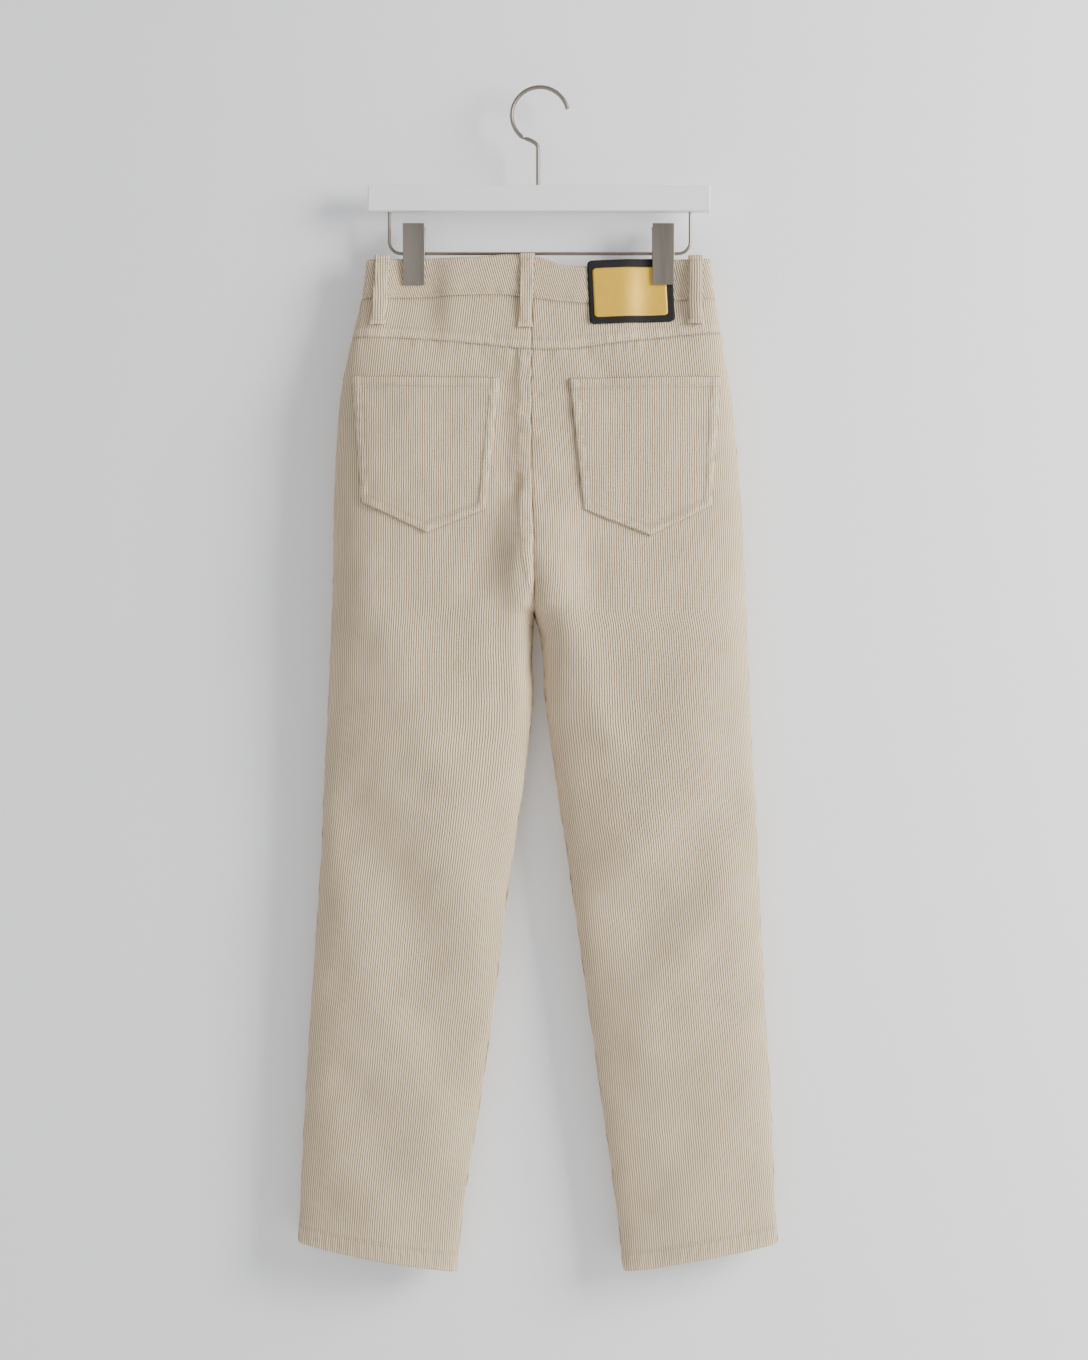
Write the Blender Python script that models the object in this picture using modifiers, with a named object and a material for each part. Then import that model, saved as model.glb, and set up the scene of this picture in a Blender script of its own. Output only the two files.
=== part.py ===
"""Corduroy trousers hung flat by the waistband from a clip hanger.

The back of the trousers faces -Y and the front faces +Y. The origin is the inner top of the
hanger's hook, where a nail or a rail carries it. Sizes and tables are in millimetres, and each
mesh is written in metres. Every cloth piece is a wall worked out from one rule: the outline and
the depth of the garment at each level, its folds, and the squeeze of the two clips.
"""

from math import cos, pi, radians, sin

import bmesh
import bpy
import numpy as np

MM = 0.001

# Cloth
CLOTH = 1.5
DOUBLE_CLOTH = 2.4
HEM_CLOTH = 2.6
GAP = 0.3
LYING_GAP = 0.8
CROTCH_Z = -529.0
BACK_CROTCH_CURVE = 112.0
FRONT_CROTCH_CURVE = 70.0
CROTCH_BACK = 8.0
HEM_LEAN = 0.185
HEM_Z = -1177.0
HEM_HEIGHT = 18.0
PANEL_COLUMNS = 12
TOP_REACH = 120.0

# Waist details
POCKET_CLOTH = 1.3
LOOP_CLOTH = 1.4
LOOP_WIDTH = 13.5
LOOP_RISE = 2.0
FLY_WIDTH = 38.0
FLY_LENGTH = 150.0
FLY_CLOTH = 1.2
FLY_CENTRE = -6.0
OVERLAP = 16.0
BUTTON_RADIUS = 8.5
BUTTON_HEIGHT = 2.4
PATCH_CLOTH = 1.2
PLATE_THICKNESS = 0.5
PLATE_GAP = 0.45

# Hanger
BAR_SIZE = (345.0, 14.0, 26.0)
BAR_CENTRE = (-1.0, 0.0, -111.0)
HOOK_RADIUS = 28.5
HOOK_CENTRE_X = 0.0
HOOK_WIRE = 4.2
HOOK_END_ANGLE = 13.0
HOOK_BACK_ANGLE = 240.0
STEM_X = -2.0
WIRE = 3.3
WIRE_LEFT = -152.0
WIRE_RIGHT = 151.5
WIRE_Z = -166.0
WIRE_BEND = 12.0
CLIP_WIDTH = 22.0
CLIP_TOP = -137.0
CLIP_LENGTH = 61.5
CLIP_PLATE = 1.3
CLIP_TOP_Y = 9.0
SPRING_RADIUS = 5.4
SPRING_LENGTH = 15.0
GRIP = 3.2
GRIP_REACH_X = 30.0
GRIP_REACH_Z = 46.0
GRIP_Z = -200.0


def table(names, *rows):
    """Named columns, one row for each level, fold or point."""
    return dict(zip(names.split(), np.array(rows, float).T))


# One row for each level: the four edges of the two legs as they show from the back, the depth
# of the back and of the front from the side seams' plane, and how square the section turns at
# its side and at its centre seam or inseam. Above the crotch both inner edges are the centre seam.
LEVELS = table(
    "z left_outer left_inner right_inner right_outer back front side_turn inner_turn",
    (-165, -173, -8, -8, 170, 8, 8, 5.0, 3.0),
    (-213, -179, -8, -8, 176, 12, 10, 4.6, 3.0),
    (-261, -191, -9, -9, 184, 19, 13, 3.4, 3.0),
    (-316, -201, -9, -9, 193, 27, 15, 2.8, 3.0),
    (-366, -205, -9, -9, 198, 31, 16, 2.6, 3.2),
    (-416, -207, -8, -8, 202, 33, 17, 2.5, 3.6),
    (-466, -208, -7, -7, 205, 34, 17, 2.4, 4.0),
    (-516, -209, -6, -6, 207, 34, 17, 2.4, 4.0),
    (-529, -210, -6, -6, 208, 34, 17, 2.4, 4.0),
    (-545, -210, -8, 0, 208, 34, 17, 2.4, 3.6),
    (-566, -211, -9, 3, 209, 33, 17, 2.4, 3.2),
    (-616, -213, -8, 6, 211, 32, 17, 2.4, 2.8),
    (-676, -216, -14, 14, 214, 30, 17, 2.4, 2.5),
    (-716, -218, -19, 19, 217, 28, 17, 2.4, 2.4),
    (-766, -220, -27, 27, 219, 27, 16, 2.4, 2.4),
    (-816, -223, -34, 34, 221, 25, 16, 2.4, 2.4),
    (-916, -230, -46, 48, 226, 22, 15, 2.4, 2.4),
    (-1016, -236, -60, 62, 232, 20, 15, 2.4, 2.4),
    (-1116, -241, -76, 76, 236, 19, 14, 2.4, 2.4),
    (-1200, -243, -86, 86, 241, 18, 14, 2.4, 2.4),
)

# The largest folds: soft ridges, or troughs where the rise is below 0, from one end to the other.
# They drag from the outer edge of each leg down to its inner edge. face is -1 at the back.
FOLDS = table(
    "face x0 z0 x1 z1 width rise",
    (-1, -6, -450, -6, -590, 40, 9.0),
    (-1, -196, -470, -50, -860, 42, 4.0),
    (-1, -196, -720, -92, -940, 38, -3.0),
    (-1, -200, -820, -95, -1050, 40, 3.5),
    (-1, -222, -1010, -165, -1165, 36, 2.5),
    (-1, 194, -560, 98, -760, 44, 4.0),
    (-1, 198, -730, 100, -840, 34, -3.0),
    (-1, 198, -775, 105, -960, 38, 3.5),
    (-1, 204, -960, 140, -1100, 36, 3.0),
    (1, -190, -560, -70, -760, 44, 2.5),
    (1, -200, -850, -90, -1020, 40, 2.0),
    (1, 185, -600, 80, -820, 44, 2.5),
    (1, 195, -900, 100, -1080, 40, 2.0),
)

# The two clips: the middle of each, and where the tip of its back plate stands, which is farther
# out where the patch label lies under it. The back plate faces -Y, as the garment's back does.
CLIPS = table(
    "x back_tip front_tip",
    (-127, 4.1, 4.1),
    (124, 7.0, 4.1),
)

# Seams that cross the garment, as height by place.
WAIST_TOP = table(
    "x z",
    (-174, -173),
    (-137, -172),
    (-60, -170),
    (-30, -168),
    (0, -171),
    (24, -179),
    (48, -180),
    (100, -174),
    (171, -172),
)
WAIST_SEAM = table(
    "x z",
    (-180, -212),
    (-130, -211),
    (-25, -210),
    (14, -215),
    (48, -218),
    (133, -214),
    (176, -211),
)
YOKE_SEAM = table(
    "x z",
    (-194, -252),
    (-140, -253),
    (-60, -260),
    (-9, -265),
    (30, -264),
    (100, -255),
    (180, -247),
)

# Back pockets: top left, top right, lower right, tip, lower left.
POCKETS = {
    "pocket_left": ((-188, -292), (-40, -294), (-54, -427), (-113, -450), (-178, -419)),
    "pocket_right": ((29, -295), (180, -292), (171, -423), (110, -453), (43, -427)),
}
POCKET_GRID = 8

# Belt loops: face, the middle at the top, the middle at the bottom, top and bottom heights.
LOOPS = {
    "loop_back_left": (-1, -158.5, -163.0, -170, -240),
    "loop_back_centre": (-1, -12.5, -15.0, -168, -243),
    "loop_back_right": (-1, 156.5, 156.5, -170, -239),
    "loop_front_left": (1, -92.0, -94.0, -171, -241),
    "loop_front_right": (1, 88.0, 90.0, -171, -241),
}
LOOP_ROWS = 10

# The patch label and the plate on it: corner, width, height and turn.
PATCH = {"x": 47.0, "z": -175.0, "width": 86.0, "height": 65.0}
PLATE = {"x": 52.5, "z": -183.0, "width": 74.0, "height": 50.0}
PATCH_TURN = radians(-2.5)

COLOURS = {
    "corduroy": ((0.58, 0.49, 0.38, 1.0), 0.95, 0.0),
    "button_metal": ((0.42, 0.39, 0.34, 1.0), 0.35, 1.0),
    "patch": ((0.01, 0.01, 0.01, 1.0), 0.6, 0.0),
    "gold_plate": ((0.72, 0.48, 0.14, 1.0), 0.35, 0.8),
    "white_bar": ((0.85, 0.85, 0.85, 1.0), 0.45, 0.0),
    "satin_metal": ((0.42, 0.38, 0.33, 1.0), 0.35, 1.0),
}
materials = {}


def clear_scene():
    for ob in list(bpy.data.objects):
        bpy.data.objects.remove(ob, do_unlink=True)


def make_materials():
    for name, (colour, roughness, metallic) in COLOURS.items():
        mat = bpy.data.materials.new(name)
        mat.use_nodes = True
        shader = mat.node_tree.nodes["Principled BSDF"]
        shader.inputs["Base Color"].default_value = colour
        shader.inputs["Roughness"].default_value = roughness
        shader.inputs["Metallic"].default_value = metallic
        mat.diffuse_color = colour
        materials[name] = mat


def at(curve, column, by, place):
    """A column of a table at a place, where the table runs downwards or from left to right."""
    order = np.argsort(curve[by])
    return np.interp(place, curve[by][order], curve[column][order])


def edge(side, end, z):
    """The outer or the inner edge of one half at a level, half a seam gap inside its own half."""
    x = at(LEVELS, f"{side}_{end}", "z", z)
    if end == "outer":
        return x
    return x - GAP / 2 if side == "left" else x + GAP / 2


def inner_depth(face, deep, z):
    """How far the centre seam stands back at a level: it curves under to the crotch point."""
    reach = BACK_CROTCH_CURVE if face < 0 else FRONT_CROTCH_CURVE
    up = np.clip((z - CROTCH_Z) / reach, 0.0, 1.0)
    return deep * np.sqrt(1.0 - (1.0 - up) ** 2)


def fold_rise(face, x, z):
    """What the folds add to the depth at a place."""
    rise = np.zeros(np.broadcast(x, z).shape)
    for i in np.nonzero(FOLDS["face"] == face)[0]:
        x0, z0, x1, z1 = (FOLDS[c][i] for c in ("x0", "z0", "x1", "z1"))
        along = np.array((x1 - x0, z1 - z0))
        length = np.hypot(*along)
        along = along / length
        run = (x - x0) * along[0] + (z - z0) * along[1]
        off = (x - x0) * along[1] - (z - z0) * along[0]
        beyond = np.maximum(np.maximum(-run, run - length), 0.0)
        width = FOLDS["width"][i]
        rise += FOLDS["rise"][i] * np.exp(-((off / width) ** 2) - (beyond / width) ** 2)
    return rise


def pinch(x, z):
    """How much the clips squeeze the cloth at a place: 1 in their jaws, 0 far from them."""
    near = np.max([np.exp(-(((x - c) / GRIP_REACH_X) ** 4)) for c in CLIPS["x"]], axis=0)
    below = np.maximum(GRIP_Z - z, 0.0)
    return near * np.exp(-((below / GRIP_REACH_Z) ** 2))


def skin_depth(face, side, t, x, z):
    """Depth of the outer face at a place. t is 1 at the side seam and -1 at the inner end."""
    deep = at(LEVELS, "back" if face < 0 else "front", "z", z)
    side_turn = at(LEVELS, "side_turn", "z", z)
    inner_turn = at(LEVELS, "inner_turn", "z", z)
    t = np.clip(t, -1.0, 1.0)
    start = inner_depth(face, deep, z)
    outer = deep * (1.0 - np.maximum(t, 0.0) ** side_turn) ** (1.0 / side_turn)
    inner = start + (deep - start) * (1.0 - np.maximum(-t, 0.0) ** inner_turn) ** (1.0 / inner_turn)
    depth = np.where(t > 0.0, outer, inner)
    centre_is_seam = np.clip((z - CROTCH_Z) / CROTCH_BACK, 0.0, 1.0)
    fade = 1.0 - np.abs(t) ** 6 * np.where(t > 0.0, 1.0, 1.0 - 0.8 * centre_is_seam)
    depth = depth + fold_rise(face, x, z) * fade * np.where(t > 0.0, outer, inner) / deep
    squeezed = np.minimum(depth, GRIP)
    hold = pinch(x, z)
    return np.maximum(depth * (1.0 - hold) + squeezed * hold, GAP / 2)


def skin_point(face, side, t, z):
    """A point of the garment's outer face."""
    outer = edge(side, "outer", z)
    inner = edge(side, "inner", z)
    x = (outer + inner) / 2 + t * (outer - inner) / 2
    return np.stack(np.broadcast_arrays(x, face * skin_depth(face, side, t, x, z), z), -1)


def on_skin(face, x, z, lift):
    """The point over a place of the outer face, moved out by lift along the face's own slope."""
    x, z = np.broadcast_arrays(np.asarray(x, float), np.asarray(z, float))

    def y_at(px, pz):
        side = np.where(px < edge("left", "inner", pz) + GAP / 2, "left", "right")
        depths = {}
        for name in ("left", "right"):
            outer = edge(name, "outer", pz)
            inner = edge(name, "inner", pz)
            t = (px - (outer + inner) / 2) / ((outer - inner) / 2)
            depths[name] = skin_depth(face, name, t, px, pz)
        return face * np.where(side == "left", depths["left"], depths["right"])

    step = 3.0
    slope_x = (y_at(x + step, z) - y_at(x - step, z)) / (2 * step)
    slope_z = (y_at(x, z + step) - y_at(x, z - step)) / (2 * step)
    normal = np.stack((-slope_x, np.ones_like(x), -slope_z), -1)
    normal *= face / np.linalg.norm(normal, axis=-1, keepdims=True)
    return np.stack((x, y_at(x, z), z), -1) + normal * lift


def waist_columns(side):
    """Places across one half of the waist: close together at the side and beside the clip."""
    clip = CLIPS["x"][0 if side == "left" else 1]
    outer = edge(side, "outer", -200.0)
    inner = edge(side, "inner", -200.0)
    held = (clip - (outer + inner) / 2) / ((outer - inner) / 2)
    near_clip = [held + step for step in (0.3, 0.16, 0.0, -0.16, -0.3)]
    return np.array([1.0, 0.993, 0.96, 0.9] + near_clip + [-0.12, -0.42, -0.7, -1.0])


def smooth_columns(turn, count):
    """Places across a section, closer together where it turns."""
    around = np.cos(np.linspace(0.0, pi, count + 1))
    return np.sign(around) * np.abs(around) ** (2.0 / turn)


def panel_rows(face, side, heights, top):
    """The outer face of a leg panel, one row for each level. The top row follows the seam above
    it, and the lowest rows lean with the leg, square to its grain."""
    below = smooth_columns(2.6, PANEL_COLUMNS)
    rows = []
    for z in heights:
        near_top = np.clip(1.0 - (heights[0] - z) / TOP_REACH, 0.0, 1.0)
        columns = below + (waist_columns(side) - below) * near_top
        z_row = np.full(PANEL_COLUMNS + 1, float(z))
        for _ in range(2):
            x = skin_point(face, side, columns, z_row)[:, 0]
            middle = (edge(side, "outer", z) + edge(side, "inner", z)) / 2
            down = np.clip((CROTCH_Z - z) / (CROTCH_Z - HEM_Z), 0.0, 1.0)
            out = 1.0 if side == "right" else -1.0
            z_row = z + HEM_LEAN * down * out * (x - middle)
            z_row = z_row + near_top * (at(top, "z", "x", x) - GAP / 2 - heights[0])
        rows.append(skin_point(face, side, columns, z_row))
    return np.array(rows)


def inward(outer, thickness, face):
    """The inner face of a wall: the outer face moved in along its normals. The rims stay in
    their seams' planes, so that neighbours keep the seam gap."""
    down = np.gradient(outer, axis=0)
    across = np.gradient(outer, axis=1)
    normal = np.cross(down, across)
    normal /= np.linalg.norm(normal, axis=-1, keepdims=True)
    middle = normal[normal.shape[0] // 2, normal.shape[1] // 2]
    normal *= np.sign(middle[1]) * face
    inner = outer - normal * np.asarray(thickness).reshape(-1, 1, 1)
    inner[0, :, 2] = outer[0, :, 2]
    inner[-1, :, 2] = outer[-1, :, 2]
    return inner


def wall(name, outer, inner, material, smooth=True):
    """A closed wall between two faces with the same rows and columns."""
    rows, columns = outer.shape[:2]
    mesh = bpy.data.meshes.new(name)
    bm = bmesh.new()
    sheets = [
        [[bm.verts.new(tuple(p * MM)) for p in row] for row in sheet] for sheet in (outer, inner)
    ]
    for r in range(rows - 1):
        for c in range(columns - 1):
            for sheet in sheets:
                bm.faces.new((sheet[r][c], sheet[r][c + 1], sheet[r + 1][c + 1], sheet[r + 1][c]))
    rim = [(0, c) for c in range(columns)]
    rim += [(r, columns - 1) for r in range(1, rows)]
    rim += [(rows - 1, c) for c in range(columns - 2, -1, -1)]
    rim += [(r, 0) for r in range(rows - 2, 0, -1)]
    for (r0, c0), (r1, c1) in zip(rim, rim[1:] + rim[:1]):
        bm.faces.new((sheets[0][r0][c0], sheets[0][r1][c1], sheets[1][r1][c1], sheets[1][r0][c0]))
    bmesh.ops.recalc_face_normals(bm, faces=bm.faces)
    bm.to_mesh(mesh)
    bm.free()
    return add_object(name, mesh, material, smooth)


def add_object(name, mesh, material, smooth=True):
    ob = bpy.data.objects.new(name, mesh)
    mesh.materials.append(materials[material])
    if smooth:
        mesh.shade_smooth()
        mesh.set_sharp_from_angle(angle=radians(40.0))
    collection.objects.link(ob)
    return ob


def crotch_rows(reach):
    """Levels that follow the curve under the crotch, closer together near its point."""
    return [CROTCH_Z + reach * f for f in (0.62, 0.36, 0.18, 0.07, 0.015)]


def leg_panels():
    """Back and front of each leg, each from its top seam to its hem in one piece."""
    below = [-533, -541, -556, -580, -612, -650, -690, -732, -775, -820, -866, -912]
    below += [-958, -1004, -1050, -1094, -1130, HEM_Z + HEM_HEIGHT + 2, HEM_Z + HEM_HEIGHT, HEM_Z]
    above_back = [-256, -278, -302, -330, -360, -392, -424] + crotch_rows(BACK_CROTCH_CURVE)
    above_front = [-212, -240, -275, -315, -360, -405, -440, -468]
    above_front += crotch_rows(FRONT_CROTCH_CURVE)
    for side in ("left", "right"):
        for face, name, above, top in (
            (-1, "back_leg", above_back, YOKE_SEAM),
            (1, "front_leg", above_front, WAIST_SEAM),
        ):
            heights = sorted(above + below, reverse=True)
            outer = panel_rows(face, side, heights, top)
            thick = [HEM_CLOTH if z <= HEM_Z + HEM_HEIGHT else CLOTH for z in heights]
            inner = inward(outer, thick, face)
            limit = np.minimum if face < 0 else np.maximum
            inner[..., 1] = limit(inner[..., 1], face * GAP / 2)
            inner[:, 0, 1] = outer[:, 0, 1]
            wall(f"{name}_{side}", outer, inner, "corduroy")


def yokes():
    """The back yoke: two short panels between the waistband and the legs' backs."""
    rows = 4
    for side in ("left", "right"):
        columns = waist_columns(side)
        outer = []
        for k in range(rows + 1):
            z = np.full(len(columns), -230.0)
            for _ in range(3):
                x = skin_point(-1, side, columns, z)[:, 0]
                high = at(WAIST_SEAM, "z", "x", x) - GAP / 2
                low = at(YOKE_SEAM, "z", "x", x) + GAP / 2
                z = high + (low - high) * k / rows
            outer.append(skin_point(-1, side, columns, z))
        outer = np.array(outer)
        inner = inward(outer, CLOTH, -1)
        inner[..., 1] = np.minimum(inner[..., 1], -GAP / 2)
        inner[:, 0, 1] = outer[:, 0, 1]
        wall(f"yoke_{side}", outer, inner, "corduroy")


def waist_loop(z_of):
    """Places round the waist, from the centre front by the right side and the back to the centre
    front again, at the height of a seam."""
    runs = ((1, "right", -1), (-1, "right", 1), (-1, "left", -1), (1, "left", 1))
    points = []
    for face, side, way in runs:
        columns = waist_columns(side)
        t = columns[::-1] if way < 0 else columns
        z = np.full(len(columns), -190.0)
        for _ in range(3):
            z = z_of(skin_point(face, side, t, z)[:, 0])
        run = skin_point(face, side, t, z)
        points.extend(run if not points else run[1:])
    return np.array(points)


def waist_height(x, part):
    """Height of the waistband at a place: part is 0 at its top edge and 1 at its seam."""
    top = at(WAIST_TOP, "z", "x", x)
    seam = at(WAIST_SEAM, "z", "x", x) + GAP / 2
    return top + (seam - top) * part


def waistband():
    """One double strip round the waist. Its ends overlap at the centre front: the under end runs
    past the centre inside, and the upper end lies over it, under the button."""
    rows = 3
    outer = np.array([waist_loop(lambda x, k=k: waist_height(x, k / rows)) for k in range(rows + 1)])
    centre = outer[:, -1, 0].mean()
    outer = np.insert(outer, 1, outer[:, 0], axis=1)
    ends = {0: centre - OVERLAP / 2, 1: centre + OVERLAP, -1: centre + OVERLAP / 2}
    for column, x in ends.items():
        outer[:, column, 0] = x
        outer[:, column, 2] = [waist_height(x, k / rows) for k in range(rows + 1)]
    outer[:, :2, 1] -= DOUBLE_CLOTH + 2 * GAP
    across = np.gradient(outer, axis=1)
    normal = np.stack((across[..., 1], -across[..., 0], np.zeros(outer.shape[:2])), -1)
    normal /= np.linalg.norm(normal, axis=-1, keepdims=True)
    back = normal.shape[1] // 2
    facing = -np.sign(normal[0, back, 1])
    inner = outer - normal * facing * DOUBLE_CLOTH
    wall("waistband", outer, inner, "corduroy")


def lying_on(name, face, x, z, lift, thickness, material):
    """A piece that lies on the garment, made from the garment's own points, moved out."""
    lift = np.asarray(lift, float)
    lift = lift if lift.ndim == 0 else lift[..., None]
    inner = on_skin(face, x, z, lift)
    outer = on_skin(face, x, z, lift + thickness)
    wall(name, outer, inner, material)


def pockets():
    across, down = np.meshgrid(
        np.linspace(0.0, 1.0, POCKET_GRID + 1), np.linspace(0.0, 1.0, POCKET_GRID + 1)
    )
    for name, corners in POCKETS.items():
        top_left, top_right, low_right, tip, low_left = (np.array(c, float) for c in corners)
        top = top_left + (top_right - top_left) * across[..., None]
        left_half = low_left + (tip - low_left) * np.minimum(across * 2, 1.0)[..., None]
        low = left_half + (low_right - tip) * np.maximum(across * 2 - 1.0, 0.0)[..., None]
        place = top + (low - top) * down[..., None]
        lying_on(name, -1, place[..., 0], place[..., 1], LYING_GAP, POCKET_CLOTH, "corduroy")


def belt_loops():
    """Each loop is a strip, stitched down near both ends, that stands off between them."""
    down, across = np.meshgrid(
        np.linspace(0.0, 1.0, LOOP_ROWS + 1), np.linspace(-0.5, 0.5, 3), indexing="ij"
    )
    for name, (face, top_x, low_x, top_z, low_z) in LOOPS.items():
        x = top_x + (low_x - top_x) * down + across * LOOP_WIDTH
        z = top_z + (low_z - top_z) * down
        lift = LYING_GAP + LOOP_RISE * np.clip(np.sin(pi * down), 0.0, 0.7) / 0.7
        lying_on(name, face, x, z, lift, LOOP_CLOTH, "corduroy")


def fly():
    """The fly's flap at the centre front, curved in at its foot, and the waist button."""
    down, across = np.meshgrid(np.linspace(0.0, 1.0, 11), np.linspace(0.0, 1.0, 5), indexing="ij")
    foot = np.sqrt(np.clip(1.0 - np.maximum(down - 0.75, 0.0) ** 2 / 0.25**2 * 0.9, 0.0, 1.0))
    x = FLY_CENTRE - FLY_WIDTH * foot * (1.0 - across)
    z_top = at(WAIST_SEAM, "z", "x", x) - 2 * GAP
    z = z_top - FLY_LENGTH * down
    lying_on("fly_flap", 1, x, z, LYING_GAP, FLY_CLOTH, "corduroy")
    top = on_skin(1, FLY_CENTRE, -192.0, LYING_GAP)
    radii = (BUTTON_RADIUS, BUTTON_RADIUS, BUTTON_RADIUS * 0.86, 0.0)
    rises = (GAP, GAP + BUTTON_HEIGHT * 0.6, GAP + BUTTON_HEIGHT, GAP + BUTTON_HEIGHT)
    turned("waist_button", top, radii, rises, "button_metal")


def turned(name, foot, radii, rises, material):
    """A turned piece whose axis points to +Y, from its foot outwards."""
    mesh = bpy.data.meshes.new(name + "_profile")
    bm = bmesh.new()
    ring = [bm.verts.new((r * MM, 0.0, h * MM)) for r, h in zip(radii, rises)]
    ring.insert(0, bm.verts.new((0.0, 0.0, rises[0] * MM)))
    edges = [bm.edges.new(pair) for pair in zip(ring, ring[1:])]
    bmesh.ops.spin(
        bm,
        geom=ring + edges,
        cent=(0, 0, 0),
        axis=(0, 0, 1),
        angle=2 * pi,
        steps=20,
        use_merge=True,
    )
    bmesh.ops.remove_doubles(bm, verts=bm.verts, dist=0.00005)
    for v in bm.verts:
        v.co = (v.co.x + foot[0] * MM, v.co.z + foot[1] * MM, -v.co.y + foot[2] * MM)
    bmesh.ops.recalc_face_normals(bm, faces=bm.faces)
    bm.to_mesh(mesh)
    bm.free()
    return add_object(name, mesh, material)


def patch():
    """The patch label and the plate on it, both bare. They hang from the waistband's edge."""
    for name, size, rows, columns, lift, thickness, material in (
        ("patch_label", PATCH, 8, 8, LYING_GAP, PATCH_CLOTH, "patch"),
        ("label_plate", PLATE, 8, 8, LYING_GAP + PATCH_CLOTH + PLATE_GAP, PLATE_THICKNESS, "gold_plate"),
    ):
        down, across = np.meshgrid(
            np.linspace(0.0, size["height"], rows + 1),
            np.linspace(0.0, size["width"], columns + 1),
            indexing="ij",
        )
        x = size["x"] + across * cos(PATCH_TURN) - down * sin(PATCH_TURN)
        z = size["z"] - across * sin(PATCH_TURN) - down * cos(PATCH_TURN)
        lying_on(name, -1, x, z, lift, thickness, material)


def bevelled_box(name, size, centre, bevel, material, cut=None):
    bpy.ops.mesh.primitive_cube_add(size=1.0)
    ob = bpy.context.object
    ob.name = name
    ob.data.name = name
    for v in ob.data.vertices:
        v.co = [c * s * MM for c, s in zip(v.co, size)]
    ob.location = [c * MM for c in centre]
    for old in list(ob.users_collection):
        old.objects.unlink(ob)
    collection.objects.link(ob)
    ob.data.materials.append(materials[material])
    if cut is not None:
        modifier = ob.modifiers.new("cut", "BOOLEAN")
        modifier.operation = "DIFFERENCE"
        modifier.object = cut
    rounding = ob.modifiers.new("edges", "BEVEL")
    rounding.width = bevel * MM
    rounding.segments = 2
    rounding.limit_method = "ANGLE"
    return ob


def wire(name, points, diameter, material):
    curve = bpy.data.curves.new(name, "CURVE")
    curve.dimensions = "3D"
    curve.bevel_depth = diameter / 2 * MM
    curve.bevel_resolution = 2
    curve.use_fill_caps = True
    spline = curve.splines.new("POLY")
    spline.points.add(len(points) - 1)
    for point, place in zip(spline.points, points):
        point.co = (place[0] * MM, place[1] * MM, place[2] * MM, 1.0)
    ob = bpy.data.objects.new(name, curve)
    curve.materials.append(materials[material])
    collection.objects.link(ob)
    return ob


def arc(centre, radius, start, end, steps):
    """Points on a circle in the hanger's plane, angles in degrees from +X towards +Z."""
    angles = [radians(start + (end - start) * k / steps) for k in range(steps + 1)]
    return [(centre[0] + radius * cos(a), 0.0, centre[1] + radius * sin(a)) for a in angles]


def hanger():
    """A bar, a hook over it, and a wire under it that carries the two clips."""
    bar_top = BAR_CENTRE[2] + BAR_SIZE[2] / 2
    bar_foot = BAR_CENTRE[2] - BAR_SIZE[2] / 2
    bevelled_box("hanger_bar", BAR_SIZE, BAR_CENTRE, 1.2, "white_bar")

    centre = (HOOK_CENTRE_X, HOOK_WIRE / 2 - HOOK_RADIUS)
    hook = arc(centre, HOOK_RADIUS, HOOK_END_ANGLE, HOOK_BACK_ANGLE, 22)
    start = np.array(hook[-1])
    way = np.array((sin(radians(HOOK_BACK_ANGLE)), 0.0, -cos(radians(HOOK_BACK_ANGLE))))
    way *= -1.0
    foot = np.array((STEM_X, 0.0, -59.0))
    reach = np.linalg.norm(foot - start) * 0.45
    first = start - way * reach
    second = foot + np.array((0.0, 0.0, reach))
    for k in range(1, 8):
        s = k / 7
        point = (1 - s) ** 3 * start + 3 * s * (1 - s) ** 2 * first
        point = point + 3 * s * s * (1 - s) * second + s**3 * foot
        hook.append(tuple(point))
    hook.append((STEM_X, 0.0, bar_top + GAP))
    wire("hanger_hook", hook, HOOK_WIRE, "satin_metal")

    low = WIRE_Z + WIRE_BEND
    under = [(WIRE_LEFT, 0.0, bar_foot - GAP), (WIRE_LEFT, 0.0, low + 2.0)]
    under += arc((WIRE_LEFT + WIRE_BEND, low), WIRE_BEND, 180.0, 270.0, 6)
    under += arc((WIRE_RIGHT - WIRE_BEND, low), WIRE_BEND, 270.0, 360.0, 6)
    under += [(WIRE_RIGHT, 0.0, low + 2.0), (WIRE_RIGHT, 0.0, bar_foot - GAP)]
    wire("hanger_wire", under, WIRE, "satin_metal")


def clip_plate(name, x, tip_y, face):
    """One sprung plate of a clip, with its sides turned in. It leans from its top to its tip."""
    half = CLIP_WIDTH / 2
    levels = table(
        "down flange",
        (0.0, 0.2),
        (0.12, 3.2),
        (0.5, 3.2),
        (0.56, 0.2),
        (1.0, 0.2),
    )
    inner = []
    outer = []
    for down, flange in zip(levels["down"], levels["flange"]):
        z = CLIP_TOP - CLIP_LENGTH * down
        y = CLIP_TOP_Y + (tip_y - CLIP_TOP_Y) * down
        width = half - (1.5 if down in (0.0, 1.0) else 0.0)
        inner.append(
            [
                (x - width + CLIP_PLATE, face * (y - flange), z),
                (x - width + CLIP_PLATE, face * y, z),
                (x + width - CLIP_PLATE, face * y, z),
                (x + width - CLIP_PLATE, face * (y - flange), z),
            ]
        )
        outer.append(
            [
                (x - width, face * (y - flange), z),
                (x - width, face * (y + CLIP_PLATE), z),
                (x + width, face * (y + CLIP_PLATE), z),
                (x + width, face * (y - flange), z),
            ]
        )
    ob = wall(name, np.array(outer), np.array(inner), "satin_metal", smooth=False)
    return ob


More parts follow.
